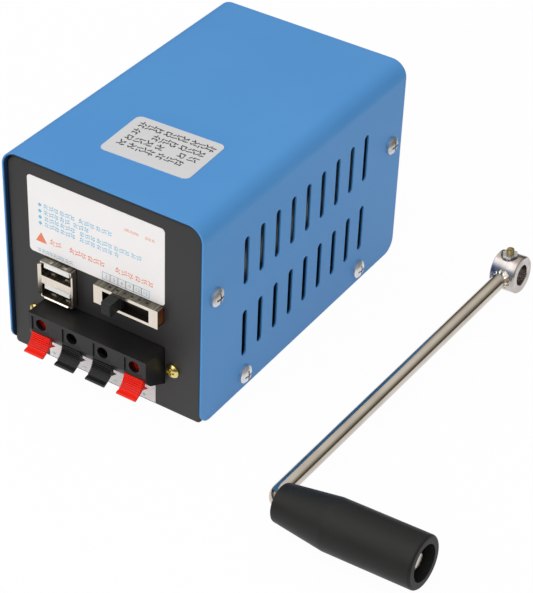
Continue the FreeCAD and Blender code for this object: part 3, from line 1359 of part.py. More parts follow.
def laid(shape):
    """Move a piece of the crank from its own axes to its place on the table."""
    tilt = FreeCAD.Rotation(V(0, 1, 0), -math.degrees(CRANK_TILT))
    yaw = FreeCAD.Rotation(V(0, 0, 1), -CRANK_YAW)
    place = FreeCAD.Placement(V(CRANK_AT[0], CRANK_AT[1], CRANK_Z + CRANK_CLEAR),
                              yaw.multiply(tilt))
    copy = shape.copy()
    copy.Placement = place.multiply(copy.Placement)
    return copy


def spindle_step():
    return GRIP_TO - GRIP_CUP_L + GRIP_END_PLAY


def hub_rod(x0, x1, r):
    return Part.makeCylinder(r, x1 - x0, V(x0, ARM_L, 0), V(1, 0, 0))


def make_crank_arm():
    """One bent rod: spindle with a threaded end, right-angle bend and arm."""
    centre = V(BEND_R, BEND_R, 0)
    section = Part.Wire(Part.makeCircle(ROD_R, V(0, BEND_R, 0), V(0, 1, 0)))
    bend = Part.Face(section).revolve(centre, V(0, 0, 1), 90)
    length = ARM_L - HUB_R - BEND_R + ARM_INTO_HUB
    arm = Part.makeCylinder(ROD_R, length, V(0, BEND_R, 0), V(0, 1, 0))
    arm = arm.cut(hub_rod(HUB_FROM - 1, HUB_TO + 1, HUB_R))
    step = spindle_step()
    spindle = Part.makeCylinder(ROD_R, step - BEND_R, V(BEND_R, 0, 0), V(1, 0, 0))
    thread_l = WASHER_T + GRIP_NUT_T + SPINDLE_PAST_NUT
    thread = Part.makeCylinder(SPINDLE_THREAD_R, thread_l, V(step, 0, 0), V(1, 0, 0))
    return fuse_all([arm, bend, spindle, thread])


def make_crank_hub():
    hub = hub_rod(HUB_FROM, HUB_TO, HUB_R)
    rims = [e for e in hub.Edges if e.BoundBox.XMax - e.BoundBox.XMin < 1e-6]
    hub = hub.makeChamfer(HUB_EDGE, rims)
    spot = Part.makeCylinder(HUB_NUT_AF / 2 + HUB_SPOT_PAST_NUT, HUB_SPOT_H,
                             V(HUB_SCREW_X, ARM_L, HUB_FLAT_Z))
    screw = Part.makeCylinder(HUB_SCREW_R, HUB_R + 1, V(HUB_SCREW_X, ARM_L, 0))
    bore = [hub_rod(HUB_FROM - 1, HUB_TO + 1, HUB_BORE_R)]
    for x, inwards in ((HUB_FROM, 1), (HUB_TO, -1)):
        bore.append(Part.makeCone(HUB_BORE_R + HUB_BORE_EDGE, HUB_BORE_R, HUB_BORE_EDGE,
                                  V(x, ARM_L, 0), V(inwards, 0, 0)))
    return cut_all(hub, bore + [spot, screw])


def make_hub_set_screw():
    low = HUB_BORE_R + HUB_SCREW_BACK
    screw = Part.makeCylinder(HUB_SCREW_R, HUB_SCREW_TOP - low, V(HUB_SCREW_X, ARM_L, low))
    slot = box(HUB_SCREW_X - HUB_SCREW_R - 1, HUB_SCREW_X + HUB_SCREW_R + 1,
               ARM_L - HUB_SLOT_W / 2, ARM_L + HUB_SLOT_W / 2,
               HUB_SCREW_TOP - HUB_SLOT_DEPTH, HUB_SCREW_TOP + 1)
    return screw.cut(slot)


def make_hub_lock_nut():
    nut = hexagon(HUB_NUT_AF, HUB_NUT_T)
    nut.translate(V(HUB_SCREW_X, ARM_L, HUB_FLAT_Z))
    return nut.cut(Part.makeCylinder(HUB_SCREW_R, HUB_NUT_T + 2,
                                     V(HUB_SCREW_X, ARM_L, HUB_FLAT_Z - 1)))


def make_grip():
    cup = GRIP_TO - GRIP_CUP_L
    bore = ROD_R + GRIP_PLAY
    edge = GRIP_EDGE_R
    neck = GRIP_NECK_EDGE_R
    sink = GRIP_FROM + GRIP_SINK_L
    profile = [
        Part.makeLine(V(GRIP_FROM, GRIP_SINK_R, 0), V(GRIP_FROM, GRIP_NECK_R - neck, 0)),
        Part.Arc(V(GRIP_FROM, GRIP_NECK_R - neck, 0),
                 V(GRIP_FROM + neck * ARC_MID, GRIP_NECK_R - neck * ARC_MID, 0),
                 V(GRIP_FROM + neck, GRIP_NECK_R, 0)).toShape(),
        Part.makeLine(V(GRIP_FROM + neck, GRIP_NECK_R, 0), V(GRIP_SHOULDER, GRIP_R, 0)),
        Part.makeLine(V(GRIP_SHOULDER, GRIP_R, 0), V(GRIP_TO - edge, GRIP_R, 0)),
        Part.Arc(V(GRIP_TO - edge, GRIP_R, 0),
                 V(GRIP_TO - edge * ARC_MID, GRIP_R - edge * ARC_MID, 0),
                 V(GRIP_TO, GRIP_R - edge, 0)).toShape(),
        Part.makeLine(V(GRIP_TO, GRIP_R - edge, 0), V(GRIP_TO, GRIP_CUP_R, 0)),
        Part.makeLine(V(GRIP_TO, GRIP_CUP_R, 0), V(cup, GRIP_CUP_R, 0)),
        Part.makeLine(V(cup, GRIP_CUP_R, 0), V(cup, bore, 0)),
        Part.makeLine(V(cup, bore, 0), V(sink, bore, 0)),
        Part.makeLine(V(sink, bore, 0), V(GRIP_FROM, GRIP_SINK_R, 0)),
    ]
    return Part.Face(Part.Wire(profile)).revolve(V(0, 0, 0), V(1, 0, 0), 360)


def make_grip_washer():
    start = spindle_step()
    disc = Part.makeCylinder(WASHER_R, WASHER_T, V(start, 0, 0), V(1, 0, 0))
    return disc.cut(Part.makeCylinder(SPINDLE_THREAD_R, WASHER_T, V(start, 0, 0), V(1, 0, 0)))


def make_grip_nut():
    start = spindle_step() + WASHER_T
    nut = turned(hexagon(GRIP_NUT_AF, GRIP_NUT_T), (1, 0, 0), (start, 0, 0))
    return nut.cut(Part.makeCylinder(SPINDLE_THREAD_R, GRIP_NUT_T, V(start, 0, 0), V(1, 0, 0)))


# ---- output -------------------------------------------------------------------
def nodes():
    parts = {
        "cover": make_cover(),
        "chassis": make_chassis(),
        "cover_screws_left": cover_screws(-1),
        "cover_screws_right": cover_screws(1),
        "front_label": make_front_label(),
        "terminal_label": make_terminal_label(),
        "top_sticker": make_top_sticker(),
        "usb_shell": make_usb_shell(),
        "usb_insulator": make_usb_insulator(),
        "usb_contacts": make_usb_contacts(),
        "switch_frame": make_switch_frame(),
        "switch_body": make_switch_body(),
        "switch_knob": make_switch_knob(),
        "switch_pins": make_switch_pins(),
        "terminal_block": make_terminal_block(),
        "terminal_contacts": make_terminal_contacts(),
        "terminal_screws": make_terminal_screws(),
        "circuit_board": make_circuit_board(),
        "board_standoffs": make_board_standoffs(),
        "board_screws": make_board_screws(),
        "capacitors": make_capacitors(),
        "inductor": make_inductor(),
        "regulator": make_regulator(),
        "heat_sink": make_heat_sink(),
        "board_chips": make_board_chips(),
        "gearbox_rear_plate": make_rear_plate(),
        "gearbox_front_plate": make_front_plate(),
        "gearbox_pillars": make_pillars(),
        "gearbox_screws": make_gearbox_screws(),
        "shaft_bushes": make_shaft_bushes(),
        "drive_shaft": make_drive_shaft(),
        "drive_gear": make_drive_gear(),
        "retaining_ring": make_retaining_ring(),
        "first_cluster_gear": cluster(FIRST_AT, LAYER_1, DRIVE_MODULE, LAYER_2, FIRST_TEETH,
                                      FIRST_PHASE),
        "first_cluster_shaft": cluster_shaft(FIRST_AT),
        "second_cluster_gear": cluster(SECOND_AT, LAYER_2, TRAIN_MODULE, LAYER_3, SECOND_TEETH,
                                       SECOND_PHASE),
        "second_cluster_shaft": cluster_shaft(SECOND_AT),
        "machine_can": make_can(),
        "machine_magnets": make_magnets(),
        "machine_end_cap": make_end_cap(),
        "machine_bushes": make_machine_bushes(),
        "machine_brushes": make_brushes(),
        "machine_tags": make_machine_tags(),
        "machine_screws": make_machine_screws(),
        "armature_core": make_armature_core(),
        "armature_windings": make_windings(),
        "commutator": make_commutator(),
        "armature_shaft": make_machine_shaft(),
        "machine_pinion": make_machine_pinion(),
        "crank_arm": laid(make_crank_arm()),
        "crank_hub": laid(make_crank_hub()),
        "hub_set_screw": laid(make_hub_set_screw()),
        "hub_lock_nut": laid(make_hub_lock_nut()),
        "grip": laid(make_grip()),
        "grip_washer": laid(make_grip_washer()),
        "grip_nut": laid(make_grip_nut()),
    }
    for number, x in enumerate(terminal_xs(), start=1):
        parts["lever_%d" % number] = make_lever(x)
    return parts


def main():
    os.makedirs("parts", exist_ok=True)
    for name, shape in nodes().items():
        if isinstance(shape, list):
            shape = Part.makeCompound(shape)
        shape.exportStep("parts/" + name + ".step")


main()
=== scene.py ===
import bmesh
import bpy
import math
from mathutils import Matrix, Vector


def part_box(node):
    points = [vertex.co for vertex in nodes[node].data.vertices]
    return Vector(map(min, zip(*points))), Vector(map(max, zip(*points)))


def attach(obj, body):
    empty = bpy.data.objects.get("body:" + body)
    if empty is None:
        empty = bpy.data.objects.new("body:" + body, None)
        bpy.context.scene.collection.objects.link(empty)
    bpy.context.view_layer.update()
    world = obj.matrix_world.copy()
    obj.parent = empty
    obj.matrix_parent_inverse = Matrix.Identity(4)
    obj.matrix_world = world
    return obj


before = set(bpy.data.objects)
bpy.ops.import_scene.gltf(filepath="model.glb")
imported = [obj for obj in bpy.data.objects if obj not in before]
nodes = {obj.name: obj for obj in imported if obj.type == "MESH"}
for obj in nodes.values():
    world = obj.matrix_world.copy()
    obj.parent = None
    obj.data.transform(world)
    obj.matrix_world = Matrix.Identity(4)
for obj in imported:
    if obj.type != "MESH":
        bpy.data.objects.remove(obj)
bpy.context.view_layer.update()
scene = bpy.context.scene
MM = 0.001

# ---- camera -------------------------------------------------------------------
FOCAL_PX = 2000.12                           # for an image IMAGE_W pixels wide
IMAGE_W = 533
SENSOR_W = 36.0
CLIP_END = 20
AZ, EL, ROLL = math.radians(31.69), math.radians(36.79), math.radians(2.34)
BOX_CORNER = Vector((-42.5, -67.0, 0))       # the camera is placed from here, in millimetres
TX, TY, DIST = -94.45, -16.64, 741.21        # the corner seen from the camera: right, up, away
back = Vector((math.sin(AZ) * math.cos(EL), -math.cos(AZ) * math.cos(EL), math.sin(EL)))
side = Vector((0, 0, 1)).cross(back).normalized()
up = back.cross(side)
right = math.cos(ROLL) * side + math.sin(ROLL) * up
top = -math.sin(ROLL) * side + math.cos(ROLL) * up
place = (BOX_CORNER - TX * right - TY * top + DIST * back) * MM
lens = bpy.data.cameras.new("camera")
lens.sensor_width = SENSOR_W
lens.sensor_fit = "HORIZONTAL"
lens.lens = FOCAL_PX * SENSOR_W / IMAGE_W
lens.clip_end = CLIP_END
camera = bpy.data.objects.new("camera", lens)
scene.collection.objects.link(camera)
camera.matrix_world = Matrix((
    (right.x, top.x, back.x, place.x),
    (right.y, top.y, back.y, place.y),
    (right.z, top.z, back.z, place.z),
    (0, 0, 0, 1)))
scene.camera = camera
scene.view_settings.view_transform = "Standard"


# ---- material helpers -----------------------------------------------------------
def rgb(r, g, b):
    """A colour in display values from 0 to 255, as linear values."""
    def linear(c):
        c /= 255
        return c / 12.92 if c <= 0.04045 else ((c + 0.055) / 1.055) ** 2.4
    return (linear(r), linear(g), linear(b), 1.0)


def add(tree, kind, values=None, **settings):
    node = tree.nodes.new("ShaderNode" + kind)
    for key, value in settings.items():
        setattr(node, key, value)
    for key, value in (values or {}).items():
        node.inputs[key].default_value = value
    return node


def coordinates(tree, stretch=(1, 1, 1)):
    place = add(tree, "TexCoord")
    mapping = add(tree, "Mapping", {"Scale": stretch})
    tree.links.new(place.outputs["Object"], mapping.inputs["Vector"])
    return mapping.outputs["Vector"]


def noise(tree, vector, scale, detail=3.0, rough=0.55):
    node = add(tree, "TexNoise", {"Scale": scale, "Detail": detail, "Roughness": rough})
    tree.links.new(vector, node.inputs["Vector"])
    return node.outputs["Fac"]


def remap(tree, value, low, high, to_low, to_high):
    node = add(tree, "MapRange", {"From Min": low, "From Max": high, "To Min": to_low,
                                  "To Max": to_high})
    tree.links.new(value, node.inputs["Value"])
    return node.outputs["Result"]


def blend_colours(tree, factor, a, b):
    node = add(tree, "Mix", data_type="RGBA")
    tree.links.new(factor, node.inputs["Factor"])
    for socket, colour in ((node.inputs[6], a), (node.inputs[7], b)):
        if hasattr(colour, "links"):
            tree.links.new(colour, socket)
        else:
            socket.default_value = colour
    return node.outputs[2]


def math_node(tree, operation, a, b=None):
    node = add(tree, "Math", operation=operation)
    for socket, value in ((node.inputs[0], a), (node.inputs[1], b)):
        if hasattr(value, "links"):
            tree.links.new(value, socket)
        elif value is not None:
            socket.default_value = value
    return node.outputs[0]


def split(tree, vector):
    node = add(tree, "SeparateXYZ")
    tree.links.new(vector, node.inputs[0])
    return node.outputs


def vector_length(tree, vector):
    node = add(tree, "VectorMath", operation="LENGTH")
    tree.links.new(vector, node.inputs[0])
    return node.outputs["Value"]


def flat_length(tree, **parts):
    """Length of a vector given by two of its components."""
    node = add(tree, "CombineXYZ")
    for axis, value in parts.items():
        tree.links.new(value, node.inputs[axis])
    return vector_length(tree, node.outputs[0])


def add_bump(tree, shader, height, strength, distance, normal=None):
    node = add(tree, "Bump", {"Strength": strength, "Distance": distance})
    tree.links.new(height, node.inputs["Height"])
    if normal:
        tree.links.new(normal, node.inputs["Normal"])
    tree.links.new(node.outputs["Normal"], shader.inputs["Normal"])


def paint_over(tree, shader, share, colour):
    """Blends the base colour towards another by a share from 0 to 1."""
    base = shader.inputs["Base Color"]
    mixed = blend_colours(tree, share, base.links[0].from_socket, colour)
    tree.links.new(mixed, base)


CLOUDS = (0.35, 0.65)      # noise values between which one shade gives way to the other
GLOSS = (0.3, 0.7)


def surface(name, colour, other, roughness, metallic=0.0, cloud=45.0, grain=1500.0,
            bump=0.15, depth=0.00008, stretch=(1, 1, 1), rough_span=0.06, **sockets):
    """Two shades in soft clouds, a fine grain in relief and a slightly uneven gloss."""
    material = bpy.data.materials.new(name)
    material.use_nodes = True
    tree = material.node_tree
    shader = tree.nodes["Principled BSDF"]
    vector = coordinates(tree, stretch)
    clouds = noise(tree, vector, cloud)
    fine = noise(tree, vector, grain, 2.0)
    shades = remap(tree, clouds, *CLOUDS, 0.0, 1.0)
    colours = blend_colours(tree, shades, colour, other)
    tree.links.new(colours, shader.inputs["Base Color"])
    gloss = remap(tree, clouds, *GLOSS, roughness - rough_span / 2, roughness + rough_span / 2)
    tree.links.new(gloss, shader.inputs["Roughness"])
    shader.inputs["Metallic"].default_value = metallic
    for key, value in sockets.items():
        shader.inputs[key.replace("_", " ")].default_value = value
    add_bump(tree, shader, fine, bump, depth)
    return material


def finish_tree(material):
    tree = material.node_tree
    return tree, tree.nodes["Principled BSDF"]


def threads(material, axis, pitch, strength=0.9):
    """Adds screw ridges across an axis to a material's relief."""
    tree, shader = finish_tree(material)
    wave = add(tree, "TexWave", {"Scale": 0.5 / pitch, "Distortion": 0.0},
               wave_type="BANDS", bands_direction=axis)
    tree.links.new(coordinates(tree), wave.inputs["Vector"])
    under = shader.inputs["Normal"].links[0].from_socket
    add_bump(tree, shader, wave.outputs["Fac"], strength, pitch / 3, under)
    return material


# ---- materials ------------------------------------------------------------------
# Pairs of lengths are the ends of a fade from one look to another.
COVER_BEND = 6.5 * MM                      # outer radius of the cover's two long bends
COVER_PAINTED_SHADE = (0.35 * MM, 0.75 * MM)        # depth in the sheet where painted shade fades in, on its inside and in its slots
LEVER_FACE_Y = -83.027 * MM                # axis of the levers' hollow faces, along X
LEVER_FACE_Z = 19.743 * MM
LEVER_FACE_R = 6.093 * MM
LEVER_RIBS_FROM = (14.40 * MM, 14.44 * MM)     # the lip lies below
RIB_SHADE_DEPTH = (0.08 * MM, 0.4 * MM)          # depth under the face where painted shade fades in on the grooves' floors
RIB_BACK = (0.47 * MM, 0.52 * MM)          # depth where the body behind the grooves begins
PAPER_SHADE = 0.975
WIRE_PITCH = 0.6 * MM
SCREW_PITCH = 0.5 * MM
LAMINATE_SHADE_FROM_ENDS = (0.6 * MM, 1.2 * MM)           # from the laminate's ends inward, where its painted shade fades in
NICKEL_UPWARD = (0.8, 0.95)                # how far a wall faces up before it gets painted shade and a rougher gloss
NICKEL_DULL = 0.22                         # what that adds to the roughness
# the hub's blue-violet tint: partly weld stain, partly painted reflection of the blue cover
STAIN_AND_REFLECTION_IN = (1.5 * MM, 2.0 * MM, 7.0 * MM)      # from the hub's left, front and top
STAIN_AND_REFLECTION_R = (2.5 * MM, 6.0 * MM)
STAIN_AND_REFLECTION_BLOTCH = 4.0 * MM


def blue_paint():
    """Blue enamel, with painted shade on the sheet's inside and in its slots."""
    material = surface("blue_paint", rgb(86, 155, 220), rgb(91, 159, 223), 0.34, cloud=14.0,
                       grain=420.0, bump=0.05, depth=0.0002, rough_span=0.05,
                       Specular_IOR_Level=0.13)
    tree, shader = finish_tree(material)
    low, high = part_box("cover")
    at = split(tree, coordinates(tree))
    sideways = math_node(tree, "ABSOLUTE", at["X"])
    past_x = math_node(tree, "SUBTRACT", sideways, (high.x - low.x) / 2 - COVER_BEND)
    past_z = math_node(tree, "SUBTRACT", at["Z"], high.z - COVER_BEND)
    from_bend = flat_length(tree, X=math_node(tree, "MAXIMUM", past_x, 0.0),
                            Z=math_node(tree, "MAXIMUM", past_z, 0.0))
    depth_in = math_node(tree, "SUBTRACT", COVER_BEND, from_bend)
    # painted shade: the colour darkens deeper in the sheet than its outer face
    paint_over(tree, shader, remap(tree, depth_in, *COVER_PAINTED_SHADE, 0.0, 0.88), rgb(8, 16, 34))
    return material


def ribbed(material, groove):
    """Painted shade on the floors of the grooves across a lever's hollow face."""
    tree, shader = finish_tree(material)
    at = split(tree, coordinates(tree))
    radius = flat_length(tree, Y=math_node(tree, "SUBTRACT", at["Y"], LEVER_FACE_Y),
                         Z=math_node(tree, "SUBTRACT", at["Z"], LEVER_FACE_Z))
    depth_in = math_node(tree, "SUBTRACT", radius, LEVER_FACE_R)
    deep = remap(tree, depth_in, *RIB_SHADE_DEPTH, 0.0, 0.85)
    before = remap(tree, depth_in, *RIB_BACK, 1.0, 0.0)
    above_lip = remap(tree, at["Z"], *LEVER_RIBS_FROM, 0.0, 1.0)
    share = math_node(tree, "MULTIPLY", math_node(tree, "MULTIPLY", deep, before), above_lip)
    # painted shade in the groove floors, above the lip
    paint_over(tree, shader, share, groove)
    return material


def powder_black():
    return surface("powder_black", rgb(42, 40, 41), rgb(48, 46, 46), 0.5, cloud=30.0,
                   grain=2600.0, bump=0.35, depth=0.00006, rough_span=0.08)


def label_stock(name, colour):
    shade = tuple(c * PAPER_SHADE for c in colour[:3]) + (1.0,)
    return surface(name, colour, shade, 0.38, cloud=70.0, grain=3000.0, bump=0.04,
                   depth=0.00003)


def circuit_green():
    material = surface("circuit_green", rgb(16, 92, 52), rgb(20, 104, 60), 0.32, cloud=60.0,
                       grain=1500.0, bump=0.1)
    tree, shader = finish_tree(material)
    tracks = add(tree, "TexBrick", {"Scale": 260.0, "Mortar Size": 0.06, "Brick Width": 1.6,
                                    "Row Height": 0.5, "Color1": rgb(14, 80, 44),
                                    "Color2": rgb(22, 112, 64), "Mortar": rgb(34, 138, 82)})
    vector = add(tree, "Mapping", {"Rotation": (math.pi / 2, 0, 0)})
    tree.links.new(coordinates(tree), vector.inputs["Vector"])
    tree.links.new(vector.outputs["Vector"], tracks.inputs["Vector"])
    share = remap(tree, tracks.outputs["Fac"], 0, 1, 0.35, 1.0)
    paint_over(tree, shader, share, tracks.outputs["Color"])
    return material


def wound_copper():
    material = surface("wound_copper", rgb(176, 92, 44), rgb(196, 112, 58), 0.28, 0.9,
                       cloud=120.0, grain=2000.0)
    return threads(material, "Y", WIRE_PITCH)


def phenolic_board():
    """Brown laminate at the switch's open ends; the rest of the body, with the track behind its
    slot, carries painted shade.
    """
    material = surface("phenolic", rgb(122, 66, 26), rgb(92, 46, 20), 0.45, cloud=240.0,
                       grain=1800.0, bump=0.25, stretch=(1, 0.12, 1))
    tree, shader = finish_tree(material)
    low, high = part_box("switch_body")
    middle, half = (low.x + high.x) / 2, (high.x - low.x) / 2
    at = split(tree, coordinates(tree))
    away = math_node(tree, "ABSOLUTE", math_node(tree, "SUBTRACT", at["X"], middle))
    track = remap(tree, away, half - LAMINATE_SHADE_FROM_ENDS[1], half - LAMINATE_SHADE_FROM_ENDS[0], 1.0, 0.0)
    # painted shade over the body between its open ends
    paint_over(tree, shader, track, rgb(22, 15, 12))
    return material


def plated_steel():
    """Bright nickel; walls that face up, the folded upper walls, get streaky painted shade and a
    rougher gloss.
    """
    material = surface("nickel", rgb(236, 226, 213), rgb(222, 212, 200), 0.2, 1.0, cloud=130.0,
                       grain=900.0, bump=0.12, depth=0.00006, stretch=(1, 1, 0.15))
    tree, shader = finish_tree(material)
    normal = split(tree, add(tree, "NewGeometry").outputs["Normal"])
    upward = remap(tree, normal["Z"], *NICKEL_UPWARD, 0.0, 1.0)
    streaks = remap(tree, noise(tree, coordinates(tree, (1, 0.08, 1)), 900.0), *CLOUDS,
                    0.0, 1.0)
    painted_top_shade = blend_colours(tree, streaks, rgb(76, 72, 62), rgb(150, 144, 130))
    # painted shade on the upward-facing walls
    paint_over(tree, shader, upward, painted_top_shade)
    gloss = math_node(tree, "MULTIPLY_ADD", upward, NICKEL_DULL)
    tree.links.new(shader.inputs["Roughness"].links[0].from_socket, gloss.node.inputs[2])
    tree.links.new(gloss, shader.inputs["Roughness"])
    return material


def heated_steel():
    """Satin steel with a blue-violet tint on the hub, partly the stain that welding leaves and
    partly a painted reflection of the blue cover.
    """
    material = surface("hub_steel", rgb(200, 193, 190), rgb(178, 170, 166), 0.24, 1.0,
                       cloud=210.0, grain=900.0, bump=0.12, depth=0.00008, rough_span=0.12)
    tree, shader = finish_tree(material)
    low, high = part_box("crank_hub")
    stain_and_reflection_at = Vector((low.x + STAIN_AND_REFLECTION_IN[0], low.y + STAIN_AND_REFLECTION_IN[1], high.z - STAIN_AND_REFLECTION_IN[2]))
    far = add(tree, "VectorMath", operation="DISTANCE")
    far.inputs[1].default_value = stain_and_reflection_at
    vector = coordinates(tree)
    tree.links.new(vector, far.inputs[0])
    blotch = math_node(tree, "MULTIPLY_ADD", noise(tree, vector, 420.0), STAIN_AND_REFLECTION_BLOTCH)
    blotch.node.inputs[2].default_value = -STAIN_AND_REFLECTION_BLOTCH / 2
    reach = math_node(tree, "ADD", far.outputs["Value"], blotch)
    share = remap(tree, reach, *STAIN_AND_REFLECTION_R, 0.7, 0.0)
    # blue-violet tint: weld stain and painted reflection of the blue cover
    paint_over(tree, shader, share, rgb(90, 92, 122))
    return material


MATERIALS = {
    "blue_paint": blue_paint(),
    "powder_black": powder_black(),
    "label_white": label_stock("label_white", rgb(251, 248, 247)),
    "sticker_white": label_stock("sticker_white", rgb(226, 226, 227)),
    "moulded_black": surface("moulded_black", rgb(17, 17, 17), rgb(22, 21, 21), 0.44,
                             cloud=60.0, grain=2200.0, bump=0.15, depth=0.00004,
                             Specular_IOR_Level=0.5),
    # both lever finishes carry painted shade in their grooves: darker black and darker red
    "lever_black": ribbed(surface("lever_black", rgb(23, 24, 24), rgb(29, 30, 30), 0.34,
                                  cloud=90.0, grain=2200.0, bump=0.12, depth=0.00004,
                                  Specular_IOR_Level=0.25), rgb(4, 4, 5)),
    "lever_red": ribbed(surface("lever_red", rgb(246, 36, 22), rgb(250, 46, 30), 0.4, cloud=90.0,
                                grain=2200.0, bump=0.1, depth=0.00004,
                                Specular_IOR_Level=0.2), rgb(216, 20, 12)),
    "knob_black": surface("knob_black", rgb(36, 39, 38), rgb(42, 45, 44), 0.5, cloud=120.0,
                          grain=2500.0, bump=0.15, depth=0.00005, Specular_IOR_Level=0.2),
    "nickel": plated_steel(),
    "zinc_screw": surface("zinc_screw", rgb(226, 226, 228), rgb(204, 205, 208), 0.4, 1.0,
                          cloud=260.0, grain=1400.0, bump=0.2, depth=0.00006),
    "brass": surface("brass", rgb(228, 214, 146), rgb(212, 192, 112), 0.22, 1.0, cloud=200.0,
                     grain=1400.0, bump=0.18, depth=0.00005),
    "contact_gold": surface("contact_gold", rgb(226, 190, 110), rgb(206, 168, 90), 0.25, 1.0,
                            cloud=300.0, grain=1800.0),
    "phenolic": phenolic_board(),
    "nylon_white": surface("nylon_white", rgb(250, 250, 248), rgb(244, 243, 240), 0.42,
                           cloud=160.0, grain=1800.0, bump=0.1,
                           Subsurface_Weight=0.1, Subsurface_Scale=0.001),
    "circuit_green": circuit_green(),
    "can_sleeve": surface("can_sleeve", rgb(28, 34, 74), rgb(36, 42, 86), 0.35, cloud=160.0,
                          grain=1800.0),
    "epoxy": surface("epoxy", rgb(34, 34, 36), rgb(44, 44, 46), 0.6, cloud=200.0, grain=3000.0,
                     bump=0.3),
    "wound_copper": wound_copper(),
    "aluminium": surface("aluminium", rgb(190, 192, 196), rgb(172, 174, 178), 0.36, 1.0,
                         cloud=90.0, grain=900.0, stretch=(0.1, 1, 1), bump=0.2),
    "zinc_steel": surface("zinc_steel", rgb(186, 188, 190), rgb(160, 163, 167), 0.34, 1.0,
                          cloud=70.0, grain=1300.0, bump=0.15),
    "bronze": surface("bronze", rgb(168, 122, 66), rgb(144, 100, 52), 0.4, 1.0, cloud=220.0,
                      grain=2600.0, bump=0.35),
    "gear_steel": surface("gear_steel", rgb(168, 168, 170), rgb(146, 147, 150), 0.3, 1.0,
                          cloud=120.0, grain=1200.0, stretch=(1, 0.2, 1), bump=0.2),
    "core_steel": surface("core_steel", rgb(120, 121, 124), rgb(98, 99, 102), 0.42, 1.0,
                          cloud=160.0, grain=1600.0, stretch=(1, 3, 1), bump=0.3),
    "ferrite": surface("ferrite", rgb(52, 52, 56), rgb(62, 62, 66), 0.6, cloud=160.0,
                       grain=2600.0, bump=0.3),
    "carbon": surface("carbon", rgb(40, 40, 42), rgb(52, 52, 54), 0.55, cloud=260.0,
                      grain=2600.0, bump=0.3),
    "chrome": surface("chrome", rgb(206, 198, 188), rgb(190, 182, 172), 0.16, 1.0, cloud=60.0,
                      grain=380.0, bump=0.05, depth=0.0001, rough_span=0.06),
    "rubber_grip": surface("rubber_grip", rgb(28, 28, 27), rgb(34, 34, 33), 0.5, cloud=55.0,
                           grain=1700.0, bump=0.3, depth=0.00007, rough_span=0.12,
                           Specular_IOR_Level=0.25),
    "print_blue": surface("print_blue", rgb(100, 184, 222), rgb(126, 198, 228), 0.4),
    "print_pale": surface("print_pale", rgb(140, 184, 208), rgb(158, 198, 218), 0.4),
    "print_orange": surface("print_orange", rgb(236, 118, 74), rgb(242, 138, 98), 0.4),
    "print_black": surface("print_black", rgb(52, 52, 54), rgb(66, 66, 68), 0.5),
    "hub_steel": heated_steel(),
    "weld": surface("weld", rgb(248, 242, 228), rgb(132, 120, 104), 0.26, 1.0, cloud=900.0,
                    grain=2600.0, bump=0.5, depth=0.00012, rough_span=0.2),
}
MATERIALS["brass_thread"] = threads(
    surface("brass_thread", rgb(176, 160, 118), rgb(150, 134, 92), 0.28, 1.0, cloud=300.0,
            grain=1800.0), "Z", SCREW_PITCH)

DRESS = {
    "blue_paint": "cover",
    "powder_black": "chassis",
    "label_white": "front_label terminal_label",
    "sticker_white": "top_sticker",
    "moulded_black": "terminal_block machine_end_cap",
    "lever_black": "lever_2 lever_3",
    "lever_red": "lever_1 lever_4",
    "knob_black": "switch_knob",
    "nickel": "usb_shell switch_frame",
    "zinc_screw": "cover_screws_left cover_screws_right switch_pins board_screws gearbox_screws "
                  "machine_screws hub_lock_nut grip_washer grip_nut",
    "brass": "terminal_screws terminal_contacts board_standoffs machine_tags machine_pinion",
    "brass_thread": "hub_set_screw",
    "contact_gold": "usb_contacts",
    "phenolic": "switch_body",
    "nylon_white": "usb_insulator",
    "circuit_green": "circuit_board",
    "can_sleeve": "capacitors",
    "epoxy": "regulator board_chips",
    "wound_copper": "inductor armature_windings commutator",
    "aluminium": "heat_sink",
    "zinc_steel": "gearbox_rear_plate gearbox_front_plate gearbox_pillars machine_can",
    "bronze": "shaft_bushes machine_bushes",
    "gear_steel": "drive_shaft drive_gear first_cluster_gear first_cluster_shaft "
                  "second_cluster_gear second_cluster_shaft armature_shaft",
    "core_steel": "armature_core retaining_ring",
    "ferrite": "machine_magnets",
    "carbon": "machine_brushes",
    "chrome": "crank_arm",
    "hub_steel": "crank_hub",
    "rubber_grip": "grip",
}
for finish, names in DRESS.items():
    for name in names.split():
        for slot in nodes[name].material_slots:
            slot.material = MATERIALS[finish]


# ---- piece helpers ----------------------------------------------------------------
def piece(name, mesh, finish, body, smooth=False):
    data = bpy.data.meshes.new(name)
    mesh.to_mesh(data)
    mesh.free()
    for face in data.polygons:
        face.use_smooth = smooth
    obj = bpy.data.objects.new(name, data)
    scene.collection.objects.link(obj)
    data.materials.append(MATERIALS[finish])
    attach(obj, body)
    return obj


def raised(mesh, outline, lift):
    """A closed solid over an outline; lift is its thickness."""
    low = [mesh.verts.new(p) for p in outline]
    high = [mesh.verts.new(p + lift) for p in outline]
    mesh.faces.new(high)
    mesh.faces.new(low[::-1])
    count = len(outline)
    for k in range(count):
        n = (k + 1) % count
        mesh.faces.new((low[k], low[n], high[n], high[k]))


def rounded_patch(mesh, centre, size, radius, u, v, lift):
    """A thin raised patch with rounded corners; u and v are its axes."""
    reach_u, reach_v = size[0] / 2 - radius, size[1] / 2 - radius
    outline = []
    for k, (side_u, side_v) in enumerate(((1, 1), (-1, 1), (-1, -1), (1, -1))):
        for step in range(4):
            angle = math.radians(90 * k + 30 * step)
            a = side_u * reach_u + radius * math.cos(angle)
            b = side_v * reach_v + radius * math.sin(angle)
            outline.append(centre + u * a + v * b)
    raised(mesh, outline, lift)


